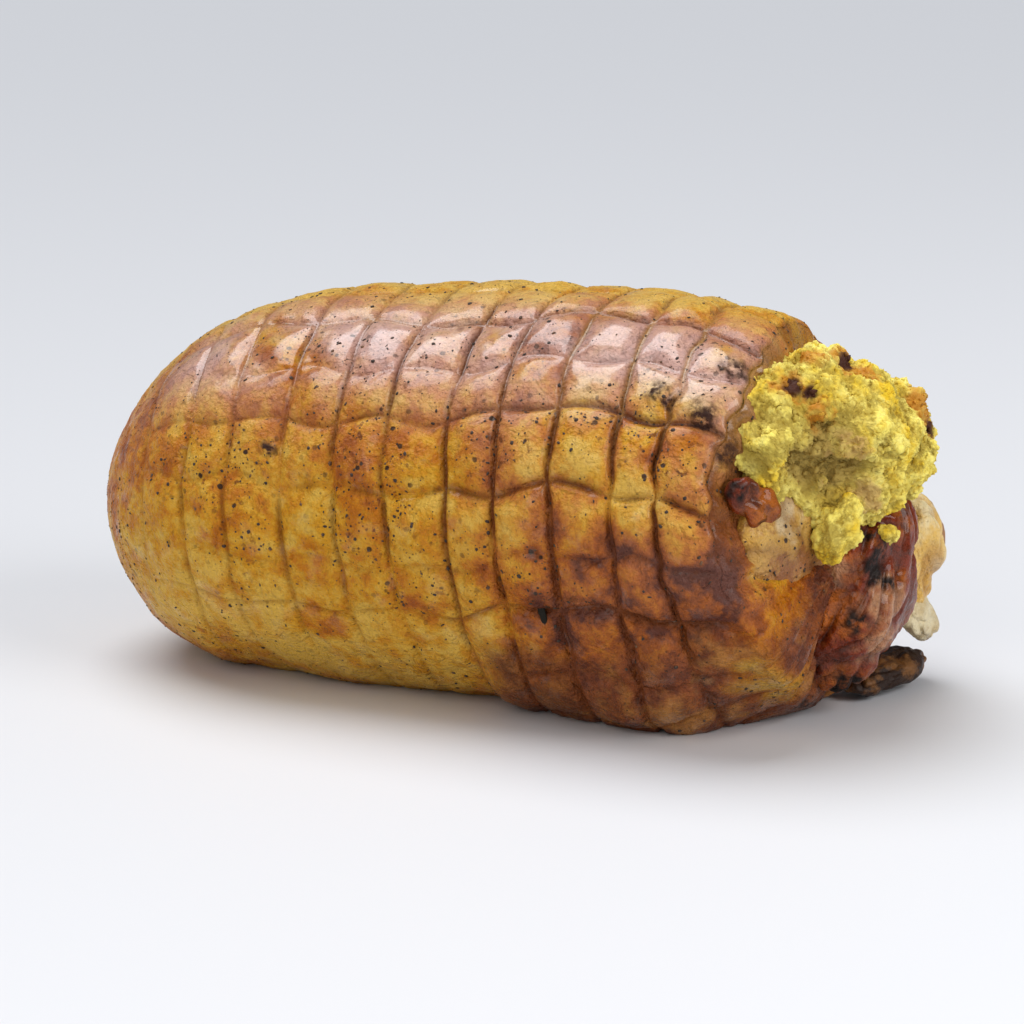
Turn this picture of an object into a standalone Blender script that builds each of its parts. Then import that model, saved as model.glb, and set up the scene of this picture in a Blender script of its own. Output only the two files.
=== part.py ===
"""A roast turducken roll: a netted log of turkey, open at one end, where its filling shows.

Metres, +Z up. The roll lies along X on its flattened underside, at Z = 0. Its domed end points
to -X and its open end to +X. The side that a viewer sees first is the one at -Y.
"""

import math
from functools import partial

import bmesh
import bpy
from mathutils import Matrix, Vector, noise

# Turkey roll, the outer bird. Its axis bows, so that both ends lean to -Y.
DOME_TIP_X = -0.113
DOME_END_X = -0.070
DOME_LENGTH = 0.077
DOME_LENGTH_LOW = 0.043
DOME_POWER = 2.05
DOME_STEPS = 6
TIP_HEIGHT = 0.045
WIDEST_X = 0.034
HALF_HEIGHT = 0.0548
TAPER_LEFT = 0.33
TAPER_RIGHT = 1.2
WIDTH_RATIO = 1.04
SINK = 0.004
SINK_AT_DOME = 0.0015
AXIS_BOW = 0.62

# The roll's open end. Its rim is cut back above and drawn in below, and its edge is rounded.
RIM_X = 0.0870
RIM_START_X = 0.066
RIM_CUT_BACK = 0.0125
RIM_NOTCH = 0.0060
RIM_TONGUE = 0.0060
RIM_DRAWN_IN = 0.05
RIM_DRAWN_IN_BELOW = 0.17
RIM_ROUNDING = ((0.975, 0.0014), (0.92, 0.0027), (0.80, 0.0035), (0.45, 0.0035), (0.0, 0.0035))

# Uneven flesh: the size and height of wide swells and of small lumps.
SWELL_SIZE, SWELL_HEIGHT = 0.034, 0.0018
LUMP_SIZE, LUMP_HEIGHT = 0.014, 0.0008

# Marks of the elastic net: hoops round the log and strands along it.
FIRST_HOOP_X = -0.0885
HOOP_PITCH = 0.0160
HOOP_COUNT = 12
HOOP_LEAN = 0.0045
STRAND_COUNT = 20
STRAND_WANDER = 0.035
CELL_STEPS = (0.0, 0.24, 0.76)
GROOVE_DEPTH = 0.0022
CELL_CROWN = 0.0008
FAINTEST_MARK = 0.45

# Lobe of dark meat below the skin's edge, low on the -Y side towards the open end.
LOBE_START_X = 0.015
LOBE_FULL_X = 0.050
LOBE_HEIGHT = 0.0052
LOBE_STEP = 0.45
LOBE_TOP_ANGLE = math.radians(207)
LOBE_LOW_ANGLE = math.radians(268)

# Inner bird, a sleeve round the stuffing. Its end shows below the stuffing, with a lump at -Y.
INNER_TIP_X = -0.084
INNER_TIP_LENGTH = 0.020
INNER_END_X = 0.0950
INNER_END_LENGTH = 0.012
INNER_LUMP = 0.0015
INNER_CENTRE = (0.001, 0.0500)
INNER_RADII = (0.037, 0.034)
INNER_FLARE = 0.14
INNER_MOUTH_X = 0.088
INNER_HOLLOW_SIZE, INNER_HOLLOW_DEPTH = 0.016, 0.0022
INNER_RINGS = 20
INNER_SEGMENTS = 32

# Cornbread stuffing: a core along the roll, and a crumbly head that bulges from its open end.
CORE_TIP_X = -0.070
CORE_CENTRE = (0.002, 0.058)
CORE_RADII = (0.022, 0.018)
CORE_STATIONS = (-0.067, -0.058, 0.0, 0.055)
HEAD_START_X = 0.064
HEAD_MOUTH_X = 0.080
HEAD_END_X = 0.1140
HEAD_CENTRE = (0.0035, 0.0703)
HEAD_RADII = (0.0400, 0.0236)
HEAD_TILT = math.radians(-9)
HEAD_BLUNTNESS = 2.5
HEAD_RINGS = 17
HEAD_SEGMENTS = 54
CRUMB_DEPTH = 0.0062
COARSE_CRUMB, FINE_CRUMB = 0.0125, 0.0055

FIT_GAP = 0.0004
CREASE_ANGLE = math.radians(38)
PEBBLE_RINGS = 12
PEBBLE_SEGMENTS = 18

SKIN = ("roast_skin", (0.72, 0.40, 0.10), 0.38)
POULTRY = ("inner_poultry", (0.66, 0.46, 0.18), 0.45)
CORNBREAD = ("cornbread", (0.82, 0.66, 0.14), 0.85)
BROWNED = ("browned_skin", (0.48, 0.17, 0.05), 0.28)
PALE_MEAT = ("pale_meat", (0.74, 0.60, 0.34), 0.45)
CHARRED = ("charred_meat", (0.09, 0.06, 0.04), 0.60)


# Small helpers.


def smooth(low, high, value):
    """0 below low, 1 above high, with an even slope at both."""
    share = min(1.0, max(0.0, (value - low) / (high - low)))
    return share * share * (3 - 2 * share)


def lumps(point, size, seed):
    """Uneven bumps of about that size, from -1 to 1, the same each run."""
    return noise.noise(point / size + Vector((seed, seed * 1.7, -seed)))


def turn_from(angle, degrees):
    """The turn from an angle in degrees to angle, between -pi and pi."""
    return (angle - math.radians(degrees) + math.pi) % math.tau - math.pi


def hump(angle, degrees, spread):
    """1 at an angle in degrees, fading to 0 over about spread radians either way."""
    return math.exp(-((turn_from(angle, degrees) / spread) ** 2))


def on_axis(x, y, z):
    """A point at y and z of the section at x, on the log's bowed axis."""
    slope = math.atan(-2 * AXIS_BOW * x)
    return Vector((x - y * math.sin(slope), -AXIS_BOW * x * x + y * math.cos(slope), z))


def material(finish):
    """A plain finish from its name, colour and roughness."""
    name, colour, roughness = finish
    made = bpy.data.materials.get(name) or bpy.data.materials.new(name)
    made.use_nodes = True
    shader = made.node_tree.nodes["Principled BSDF"]
    shader.inputs["Base Color"].default_value = (*colour, 1)
    shader.inputs["Roughness"].default_value = roughness
    shader.inputs["Metallic"].default_value = 0
    return made


def collection(name, shown=True):
    """A collection in the scene; one that isn't shown holds cutters."""
    made = bpy.data.collections.new(name)
    bpy.context.scene.collection.children.link(made)
    made.hide_render = not shown
    return made


def move_to(obj, target):
    for owner in list(obj.users_collection):
        owner.objects.unlink(obj)
    target.objects.link(obj)


def wrapped_sphere(name, rings, segments, place, target, finish=None):
    """A UV sphere whose vertex of ring r and segment s is moved to place(r, s).

    Ring 0 is the pole at -X and ring `rings` is the pole at +X. Segment 0 points to +Y, and the
    segments run up over the top. A piece without a finish is a cutter.
    """
    bpy.ops.mesh.primitive_uv_sphere_add(segments=segments, ring_count=rings, radius=1)
    obj = bpy.context.active_object
    obj.name = name
    obj.data.name = name
    for vertex in obj.data.vertices:
        ring = round(math.acos(max(-1.0, min(1.0, vertex.co.z))) / math.pi * rings)
        turn = math.atan2(vertex.co.y, vertex.co.x) / math.tau
        segment = round(turn * segments) % segments
        vertex.co = place(ring, 0 if ring in (0, rings) else segment)
    obj.data.flip_normals()
    move_to(obj, target)
    if finish:
        obj.data.materials.append(material(finish))
    else:
        obj.display_type = "WIRE"
        obj.hide_render = True
    return obj


def cut(obj, cutters):
    """Cuts the cutters from obj, keeps its largest piece and shades it."""
    for cutter in cutters:
        modifier = obj.modifiers.new("fit", "BOOLEAN")
        modifier.operation = "DIFFERENCE"
        modifier.object = cutter
    graph = bpy.context.evaluated_depsgraph_get()
    mesh = bpy.data.meshes.new_from_object(obj.evaluated_get(graph))
    old = obj.data
    obj.modifiers.clear()
    obj.data = mesh
    bpy.data.meshes.remove(old)
    mesh.name = obj.name
    keep_largest(mesh)
    mesh.shade_smooth()
    mesh.set_sharp_from_angle(angle=CREASE_ANGLE)


def island_of(start):
    """Every vertex that is joined to start by edges."""
    island, front = {start}, [start]
    while front:
        for edge in front.pop().link_edges:
            for vertex in edge.verts:
                if vertex not in island:
                    island.add(vertex)
                    front.append(vertex)
    return island


def keep_largest(mesh):
    """Drops the loose scraps that a cut leaves."""
    edit = bmesh.new()
    edit.from_mesh(mesh)
    left = set(edit.verts)
    largest = set()
    while left:
        island = island_of(next(iter(left)))
        left -= island
        if len(island) > len(largest):
            largest = island
    scraps = [vertex for vertex in edit.verts if vertex not in largest]
    bmesh.ops.delete(edit, geom=scraps, context="VERTS")
    edit.to_mesh(mesh)
    edit.free()


# The turkey roll.


def hoop_x(index):
    """Where hoop mark number index crosses the roll's side, with the net's uneven pitch."""
    uneven = 0.0009 * math.sin(2.3 * index) + 0.0005 * math.sin(5.1 * index + 1)
    return FIRST_HOOP_X + HOOP_PITCH * index + uneven


def half_height(x):
    taper = TAPER_LEFT if x < WIDEST_X else TAPER_RIGHT
    return HALF_HEIGHT - taper * (x - WIDEST_X) ** 2


def centre_height(x):
    """Height of the section's middle: the underside is pressed flat, least near the dome."""
    sink = SINK_AT_DOME + (SINK - SINK_AT_DOME) * smooth(-0.085, -0.030, x)
    return TIP_HEIGHT + (half_height(x) - sink - TIP_HEIGHT) * dome_share(x, 0) ** 0.8


def dome_share(x, angle):
    """How far the section has grown at x, from 0 at the dome's tip to 1: blunter below."""
    below = 0.5 - 0.5 * math.sin(angle)
    length = DOME_LENGTH + (DOME_LENGTH_LOW - DOME_LENGTH) * below
    along = min(1.0, max(0.0, (x - DOME_TIP_X) / length))
    return math.sqrt(max(0.0, 1 - (1 - along) ** DOME_POWER))


def rim_x(angle):
    """The open end's edge: cut back above, notched on the -Y side and longer below it."""
    cut_back = RIM_CUT_BACK * hump(angle, 62, 1.0) + RIM_NOTCH * hump(angle, 155, 0.45)
    return RIM_X - cut_back + RIM_TONGUE * hump(angle, 218, 0.45)


def drawn_in(x, angle):
    """The share by which the section shrinks towards the rim, most of all below."""
    share = RIM_DRAWN_IN + RIM_DRAWN_IN_BELOW * hump(angle, 242, 0.7)
    return share * smooth(RIM_START_X, 0.094, x)


def lobe(x, angle):
    """Height of the lobe of dark meat, with a step where the skin's edge crosses it."""
    start = LOBE_START_X + 0.004 * math.sin(9 * angle)
    along = smooth(start - 0.004, start + 0.007, x)
    top = LOBE_TOP_ANGLE + 0.09 * math.sin(70 * (x - LOBE_START_X))
    around = smooth(top - 0.05, top + 0.42, angle)
    around *= 1 - smooth(LOBE_LOW_ANGLE - 0.30, LOBE_LOW_ANGLE, angle)
    swell = LOBE_STEP + (1 - LOBE_STEP) * smooth(LOBE_START_X, LOBE_FULL_X, x)
    fade = 0.8 * smooth(LOBE_FULL_X + 0.005, RIM_X, x)
    return LOBE_HEIGHT * along * around * (swell - fade)


def net_strength(x, angle):
    """How deep the net bit at a place: least on the dome and on the underside."""
    along = FAINTEST_MARK + (1 - FAINTEST_MARK) * smooth(-0.06, 0.07, x)
    on_dome = smooth(DOME_TIP_X + 0.008, DOME_END_X, x)
    under = 1 - 0.75 * hump(angle, 262, 0.62)
    near_rim = 1 - smooth(0.080, 0.092, x)
    return along * on_dome * under * near_rim


def roll_rings():
    """Stations along the roll: x, step within a net cell, and how far the end has closed."""
    rings = [(DOME_TIP_X, 2, 1)]
    for index in range(1, DOME_STEPS):
        share = (index / DOME_STEPS) ** 1.8
        rings.append((DOME_TIP_X + (FIRST_HOOP_X - DOME_TIP_X) * share, 2, 1))
    for hoop in range(HOOP_COUNT - 1):
        start, end = hoop_x(hoop), hoop_x(hoop + 1)
        for step, share in enumerate(CELL_STEPS):
            rings.append((start + (end - start) * share, step, 1))
    rings.append((LAST_HOOP_X, 1, 1))
    rings += [(None, 2, closing) for closing, _ in RIM_ROUNDING]
    return rings


LAST_HOOP_X = hoop_x(HOOP_COUNT - 1)
ROLL_RINGS = roll_rings()
ROLL_SEGMENTS = STRAND_COUNT * len(CELL_STEPS)


def roll_place(ring, segment, grow=0.0):
    """Where a vertex of the roll lies: its section, the lobe, the uneven flesh and the net."""
    x, hoop_step, closing = ROLL_RINGS[ring]
    strand, strand_step = divmod(segment, len(CELL_STEPS))
    place = strand + CELL_STEPS[strand_step]
    angle = math.tau * place / STRAND_COUNT
    angle += STRAND_WANDER * math.sin(2.1 * place + 16 * (LAST_HOOP_X if x is None else x))
    if x is None:
        x = rim_x(angle) + dict(RIM_ROUNDING)[closing] + grow
    else:
        lean = HOOP_LEAN * math.sin(angle) + 0.0008 * math.sin(3 * angle + 40 * x)
        lean *= smooth(DOME_TIP_X, DOME_END_X, x) * (1 - smooth(0.05, LAST_HOOP_X, x))
        x += (rim_x(angle) - LAST_HOOP_X) * smooth(0.045, LAST_HOOP_X, x) - lean
    size = half_height(x) * dome_share(x, angle) * (1 - drawn_in(x, angle)) * closing
    centre = centre_height(x)
    outward = Vector((0, math.cos(angle), math.sin(angle)))
    raw = Vector((x, outward.y * size, centre + outward.z * size))
    relief = SWELL_HEIGHT * lumps(raw, SWELL_SIZE, 3) + LUMP_HEIGHT * lumps(raw, LUMP_SIZE, 8)
    in_groove = hoop_step == 0 or strand_step == 0
    relief += net_strength(x, angle) * (-GROOVE_DEPTH if in_groove else CELL_CROWN)
    relief = (relief + lobe(x, angle)) * smooth(0.0, 0.5, size / HALF_HEIGHT) * closing + grow
    across, up = size * WIDTH_RATIO + relief, size + relief
    point = on_axis(x, outward.y * across, centre + outward.z * up)
    point.z = max(point.z, -grow)
    return point


# The inner bird.


def inner_place(ring, segment, grow=0.0):
    """A vertex of the sleeve: a plain log inside the roll, wider and hollowed where it shows."""
    angle = math.tau * segment / INNER_SEGMENTS
    share = 0.5 - 0.5 * math.cos(math.pi * ring / INNER_RINGS)
    end_x = INNER_END_X + INNER_LUMP * hump(angle, 182, 0.40)
    x = INNER_TIP_X + (end_x - INNER_TIP_X) * share
    from_tip = min(1.0, (x - INNER_TIP_X) / INNER_TIP_LENGTH)
    to_end = min(1.0, (end_x - x) / INNER_END_LENGTH)
    closing = math.sqrt(1 - (1 - from_tip) ** 2) * math.sqrt(1 - (1 - to_end) ** 2.2)
    mouth = smooth(HEAD_START_X, INNER_MOUTH_X, x)
    widen = 1 + INNER_FLARE * mouth * hump(angle, 178, 0.6)
    across, up = [(radius * widen + grow) * closing for radius in INNER_RADII]
    outward = Vector((0, math.cos(angle), math.sin(angle)))
    height = INNER_CENTRE[1] + outward.z * up
    point = on_axis(x + grow * share, INNER_CENTRE[0] + outward.y * across, height)
    if grow > 0:
        return point
    hollow = INNER_HOLLOW_DEPTH * (1 - abs(lumps(point, INNER_HOLLOW_SIZE, 21))) * mouth
    return point + (Vector((closing - 1, 0, 0)) - outward * closing) * hollow


# The cornbread stuffing.


def stuffing_rings():
    """Stations of the stuffing: few along the hidden core, many over the crumbly head."""
    turns = [math.pi / 2 * step / HEAD_RINGS for step in range(HEAD_RINGS + 1)]
    head = [HEAD_START_X + (HEAD_END_X - HEAD_START_X) * math.sin(turn) for turn in turns]
    return [CORE_TIP_X, *CORE_STATIONS, *head]


STUFFING_RINGS = stuffing_rings()


def stuffing_place(ring, segment, grow=0.0):
    """A vertex of the stuffing: a slim core that swells into a blunt head of crumb."""
    x = STUFFING_RINGS[ring]
    angle = math.tau * segment / HEAD_SEGMENTS
    swell = smooth(HEAD_START_X, HEAD_MOUTH_X, x)
    from_tip = min(1.0, (x - CORE_TIP_X) / 0.014)
    past = max(0.0, (x - HEAD_MOUTH_X) / (HEAD_END_X - HEAD_MOUTH_X))
    closing = math.sqrt(1 - (1 - from_tip) ** 2) * math.sqrt(max(0.0, 1 - past**HEAD_BLUNTNESS))
    centre = [core + (head - core) * swell for core, head in zip(CORE_CENTRE, HEAD_CENTRE)]
    radii = [core + (head - core) * swell + grow for core, head in zip(CORE_RADII, HEAD_RADII)]
    across, up = math.cos(angle) * radii[0] * closing, math.sin(angle) * radii[1] * closing
    tilt = HEAD_TILT * swell
    offset_y = across * math.cos(tilt) - up * math.sin(tilt)
    offset_z = across * math.sin(tilt) + up * math.cos(tilt)
    point = on_axis(x + grow * past, centre[0] + offset_y, centre[1] + offset_z)
    if grow > 0:
        return point
    shown = smooth(HEAD_MOUTH_X - 0.006, HEAD_MOUTH_X + 0.004, x)
    coarse, fine = lumps(point, COARSE_CRUMB, 5), lumps(point, FINE_CRUMB, 31)
    carve = CRUMB_DEPTH * shown * min(1.0, max(0.0, 0.42 - 0.62 * coarse - 0.36 * fine))
    inward = Vector((-past, -math.cos(angle) * closing, -math.sin(angle) * closing))
    if ring == len(STUFFING_RINGS) - 1:
        inward = Vector((-1, 0, 0))
    return point + inward.normalized() * carve


# Pieces at the open end.


def pebble_place(ring, segment, radii, bend, bumps, seed, frame, grow=0.0):
    """A vertex of a leaf or lump, in its own frame: X along it, Z out of its broad face."""
    polar, around = math.pi * ring / PEBBLE_RINGS, math.tau * segment / PEBBLE_SEGMENTS
    ring_size = math.sin(polar)
    unit = Vector((-math.cos(polar), ring_size * math.cos(around), ring_size * math.sin(around)))
    point = Vector([part * (radius + grow) for part, radius in zip(unit, radii)])
    point.z -= bend * unit.x**2
    bump = bumps * lumps(point, max(radii) * 0.5, seed)
    return frame @ (point + unit * bump)


def piece_frame(centre, along, facing):
    """A frame at centre, with X along `along` and Z as near `facing` as can be."""
    x_axis = Vector(along).normalized()
    y_axis = Vector(facing).cross(x_axis).normalized()
    z_axis = x_axis.cross(y_axis)
    return Matrix.Translation(centre) @ Matrix((x_axis, y_axis, z_axis)).transposed().to_4x4()


END_PIECES = {
    "folded_flap": {
        "frame": piece_frame((0.0990, 0.0010, 0.0335), (8, 15, 41), (1, -0.30, 0.1)),
        "radii": (0.0270, 0.0175, 0.0100),
        "bend": 0.004,
        "bumps": 0.0030,
        "seed": 4,
        "finish": BROWNED,
    },
    "meat_fold": {
        "frame": piece_frame((0.0975, 0.0300, 0.0370), (1, -3, 14), (1, 0.5, 0)),
        "radii": (0.0170, 0.0150, 0.0140),
        "bend": 0.001,
        "bumps": 0.0026,
        "seed": 27,
        "finish": POULTRY,
    },
    "skin_curl": {
        "frame": piece_frame((0.0835, -0.0415, 0.0625), (6, 13, -12), (0.6, -1, 0.4)),
        "radii": (0.0095, 0.0048, 0.0028),
        "bend": 0.002,
        "bumps": 0.0010,
        "seed": 9,
        "finish": BROWNED,
    },
    "stuffing_chunk": {
        "frame": piece_frame((0.0980, -0.0205, 0.0535), (4, 5, 12), (1, -1, 0.2)),
        "radii": (0.0085, 0.0050, 0.0042),
        "bend": 0.0,
        "bumps": 0.0022,
        "seed": 13,
        "finish": CORNBREAD,
    },
    "pale_strip": {
        "frame": piece_frame((0.1040, 0.0320, 0.0200), (2, 21, -12), (1, 0, 0.6)),
        "radii": (0.0150, 0.0065, 0.0045),
        "bend": 0.003,
        "bumps": 0.0014,
        "seed": 17,
        "finish": PALE_MEAT,
    },
    "charred_edge": {
        "frame": piece_frame((0.0980, 0.0250, 0.0053), (9, 28, 2), (0, 0, 1)),
        "radii": (0.0170, 0.0075, 0.0040),
        "bend": 0.0006,
        "bumps": 0.0012,
        "seed": 22,
        "finish": CHARRED,
    },
}


def pebble(name, target, finish=None, grow=0.0):
    """One of the pieces at the open end, or without a finish its cutter."""
    shape = {key: value for key, value in END_PIECES[name].items() if key != "finish"}
    place = partial(pebble_place, grow=grow, **shape)
    label = name if finish else name + "_cutter"
    return wrapped_sphere(label, PEBBLE_RINGS, PEBBLE_SEGMENTS, place, target, finish)


def stand_on_origin(parts):
    """Moves every piece alike, so that the middle of the underside is the origin."""
    corners = [vertex.co for obj in parts.objects for vertex in obj.data.vertices]
    middle = [
        (min(point[axis] for point in corners) + max(point[axis] for point in corners)) / 2
        for axis in (0, 1)
    ]
    for obj in parts.objects:
        obj.data.transform(Matrix.Translation((-middle[0], -middle[1], 0)))


def main():
    for obj in list(bpy.data.objects):
        bpy.data.objects.remove(obj)
    parts = collection("turducken_roll")
    cutters = collection("cutters", shown=False)
    logs = {
        "cornbread_stuffing": (len(STUFFING_RINGS) - 1, HEAD_SEGMENTS, stuffing_place, CORNBREAD),
        "inner_poultry": (INNER_RINGS, INNER_SEGMENTS, inner_place, POULTRY),
        "turkey_roll": (len(ROLL_RINGS) - 1, ROLL_SEGMENTS, roll_place, SKIN),
    }
    bigger = []
    for name, (rings, segments, place, finish) in logs.items():
        cut(wrapped_sphere(name, rings, segments, place, parts, finish), bigger)
        grown = partial(place, grow=FIT_GAP)
        bigger.append(wrapped_sphere(name + "_cutter", rings, segments, grown, cutters))
    for name, shape in END_PIECES.items():
        cut(pebble(name, parts, shape["finish"]), bigger)
        bigger.append(pebble(name, cutters, grow=FIT_GAP))
    stand_on_origin(parts)


main()
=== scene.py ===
# %% [markdown]
# # A roast turducken roll
# The solid part already has the roll's size and its main forms: a log of turkey that was tied in
# a net, the inner bird's end, a head of cornbread stuffing, and a few folds of skin and meat.
# This lesson lays a finer surface over each of those solids. The same simple rules are used
# again, with many more points, so that the finer surface keeps to the solid below it.

# %% Load the solid part
import math

import bpy
import numpy as np
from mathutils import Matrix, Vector, noise


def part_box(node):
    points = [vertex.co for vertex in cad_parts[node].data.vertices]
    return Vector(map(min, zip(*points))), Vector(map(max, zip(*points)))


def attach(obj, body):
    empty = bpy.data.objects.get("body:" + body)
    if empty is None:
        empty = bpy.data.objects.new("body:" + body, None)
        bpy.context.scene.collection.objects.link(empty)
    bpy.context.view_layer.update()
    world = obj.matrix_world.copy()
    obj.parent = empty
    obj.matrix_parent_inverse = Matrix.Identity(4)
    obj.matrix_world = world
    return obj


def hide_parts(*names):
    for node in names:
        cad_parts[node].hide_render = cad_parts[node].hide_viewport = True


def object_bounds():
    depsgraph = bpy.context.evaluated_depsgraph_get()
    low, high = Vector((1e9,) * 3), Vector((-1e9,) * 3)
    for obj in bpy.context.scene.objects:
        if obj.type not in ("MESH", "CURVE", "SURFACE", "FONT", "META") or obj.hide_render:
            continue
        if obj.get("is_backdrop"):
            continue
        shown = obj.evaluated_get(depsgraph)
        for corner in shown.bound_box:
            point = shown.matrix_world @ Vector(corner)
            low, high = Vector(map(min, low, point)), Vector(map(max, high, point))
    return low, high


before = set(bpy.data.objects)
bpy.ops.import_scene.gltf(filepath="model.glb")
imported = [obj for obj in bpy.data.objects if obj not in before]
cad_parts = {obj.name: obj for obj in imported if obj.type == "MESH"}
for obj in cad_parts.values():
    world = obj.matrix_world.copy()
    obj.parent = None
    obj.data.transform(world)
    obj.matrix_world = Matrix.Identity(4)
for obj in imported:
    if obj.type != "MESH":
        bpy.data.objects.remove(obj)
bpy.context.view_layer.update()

# %% [markdown]
# ## Rules for soft, uneven forms
# Meat has no straight edges, so nearly every size here fades in and out. A few small rules do
# most of the work: an even fade, a hump at one side of the log, lumps and folds from Blender's
# own noise, and ragged spots. They take whole arrays of points at once, because one surface has
# up to a hundred thousand of them.

# %% Fades, humps and lumps


def smooth(low, high, value):
    """0 at low, 1 at high, with an even slope at both."""
    share = np.clip((value - low) / (high - low), 0, 1)
    return share * share * (3 - 2 * share)


def hump(angle, degrees, spread):
    """1 at an angle in degrees, fading to 0 over about spread radians either way."""
    turn = (angle - math.radians(degrees) + math.pi) % math.tau - math.pi
    return np.exp(-((turn / spread) ** 2))


def lumps(points, size, seed, stretch=(1, 1, 1)):
    """Uneven bumps of about that size, from -1 to 1, at each of the points."""
    offset = np.array((seed, seed * 1.7, -seed))
    places = points.reshape(-1, 3) / (size * np.array(stretch)) + offset
    values = [noise.noise(place) for place in places.tolist()]
    return np.array(values).reshape(points.shape[:-1])


def creases(points, size, seed, stretch=(1, 1, 1)):
    """Narrow folds between round backs: 0 in the fold, up to 1 on the back."""
    return np.minimum(1, np.abs(lumps(points, size, seed, stretch)) * 3)


# %% Ragged spots and soft patches


def radii_away(points, place, radius):
    """How many radii the points are from a place. Both are in millimetres."""
    return np.linalg.norm(points * 1000 - place, axis=-1) / radius


def spots(points, places, seed):
    """1 inside ragged round spots. Each place is x, y, z and a radius, in millimetres."""
    found = np.zeros(points.shape[:-1])
    ragged = lumps(points, 0.0022, seed) + 0.7 * lumps(points, 0.005, seed + 3)
    for *place, radius in places:
        away = radii_away(points, place, radius) + 0.45 * ragged
        found = np.maximum(found, 1 - smooth(0.55, 1.15, away))
    return found


def patches(points, places):
    """Wide soft patches, each as strong as the last number of its place says."""
    ragged = 0.35 * lumps(points, 0.009, 91)
    found = np.zeros(points.shape[:-1])
    for *place, radius, strength in places:
        found += strength * (1 - smooth(0.4, 1.4, radii_away(points, place, radius) + ragged))
    return found


# %% [markdown]
# ## Surfaces from rings
# Each piece is a closed skin over rings of points, like the hoops of a barrel that shrink to a
# point at both ends. Faces are listed so that their normals point outwards. Numbers that later
# steps need, such as how brown a place is, are kept at the points as named attributes. The log
# isn't quite straight: its sections stand square to an axis that bows by a few millimetres.

# %% Closed surfaces from rings


def closed_surface(name, rings, marks):
    """A closed mesh over rings of points, whose first and last ring shrink to one point."""
    count, around = rings.shape[:2]

    def listed(values):
        """One point for each end, and every point of the rings between them."""
        ends = [values[:1].mean(axis=(0, 1)), values[-1:].mean(axis=(0, 1))]
        middle = values[1:-1].reshape(-1, *values.shape[2:])
        return np.concatenate(([ends[0]], middle, [ends[1]]))

    points = listed(rings)
    here = np.arange(around)
    following = (here + 1) % around
    start = 1 + around * np.arange(count - 3)[:, None]
    above = start + around
    quads = np.stack((start + here, start + following, above + following, above + here), -1)
    first_cap = np.stack((0 * here, 1 + following, 1 + here), -1)
    end = 1 + around * (count - 3)
    last_cap = np.stack((end + here, end + following, 0 * here + len(points) - 1), -1)
    faces = [*first_cap.tolist(), *quads.reshape(-1, 4).tolist(), *last_cap.tolist()]
    mesh = bpy.data.meshes.new(name)
    mesh.from_pydata(points.tolist(), [], faces)
    for mark, values in marks.items():
        attribute = mesh.attributes.new(mark, "FLOAT", "POINT")
        attribute.data.foreach_set("value", listed(values).astype(np.float32))
    mesh.shade_smooth()
    obj = bpy.data.objects.new(name, mesh)
    bpy.context.scene.collection.objects.link(obj)
    return obj


def triangles(obj):
    """How many triangles a piece has. Each one should stay under 200,000."""
    return sum(len(face.vertices) - 2 for face in obj.data.polygons)


# %% The log's bowed axis
AXIS_BOW = 0.62
SHIFT = np.array((-0.00071, 0.00059, 0.0))  # puts the whole roll's middle at the origin


def on_axis(x, y, z):
    """Points at y and z of the sections at x, on an axis that bows a little to one side."""
    slope = np.arctan(-2 * AXIS_BOW * x)
    return np.stack((x - y * np.sin(slope), -AXIS_BOW * x * x + y * np.cos(slope), z), -1)


# %% [markdown]
# ## The log's own shape
# The outer bird is a log with a round nose at -X. It is widest past its middle, its underside is
# pressed flat by its weight, and the rim of its open end is cut back at the top. These rules and
# sizes are those of the solid part, so both have the same outline.

# %% Sizes of the turkey roll
DOME_TIP_X, DOME_END_X = -0.113, -0.070
DOME_LENGTH, DOME_LENGTH_LOW, DOME_POWER = 0.077, 0.043, 2.05
TIP_HEIGHT, HALF_HEIGHT, WIDEST_X = 0.045, 0.0548, 0.034
TAPER_LEFT, TAPER_RIGHT, WIDTH_RATIO = 0.33, 1.2, 1.04
SINK, SINK_AT_DOME = 0.004, 0.0015
RIM_X, RIM_START_X = 0.0870, 0.066
RIM_CUT_BACK, RIM_NOTCH, RIM_TONGUE = 0.0125, 0.0060, 0.0060
RIM_DRAWN_IN, RIM_DRAWN_IN_BELOW = 0.05, 0.17
FIRST_HOOP_X, HOOP_PITCH, HOOP_COUNT, HOOP_LEAN = -0.0885, 0.0160, 12, 0.0045
STRAND_COUNT, STRAND_WANDER, STRAND_ZIGZAG, STRAND_TWIST = 20, 0.035, 0.022, 0.13
HOOPS = np.arange(-3, HOOP_COUNT + 1)
UNEVEN_TYING = 0.0009 * np.sin(2.3 * HOOPS) + 0.0005 * np.sin(5.1 * HOOPS + 1)
HOOP_PLACES = FIRST_HOOP_X + HOOP_PITCH * HOOPS + UNEVEN_TYING
LAST_HOOP_X = HOOP_PLACES[HOOPS == HOOP_COUNT - 1][0]
LOBE_START_X, LOBE_TOP, LOBE_LOW, LOBE_HEIGHT = 0.015, 204, 268, 0.0052  # angles in degrees

# %% The roll's outline


def half_height(x):
    """Half the log's height, which tapers from its widest place to both ends."""
    taper = np.where(x < WIDEST_X, TAPER_LEFT, TAPER_RIGHT)
    return HALF_HEIGHT - taper * (x - WIDEST_X) ** 2


def dome_share(x, angle):
    """How far the section has grown at x, from 0 at the nose to 1: blunter below."""
    below = 0.5 - 0.5 * np.sin(angle)
    length = DOME_LENGTH + (DOME_LENGTH_LOW - DOME_LENGTH) * below
    along = np.clip((x - DOME_TIP_X) / length, 0, 1)
    return np.sqrt(1 - (1 - along) ** DOME_POWER)


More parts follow.
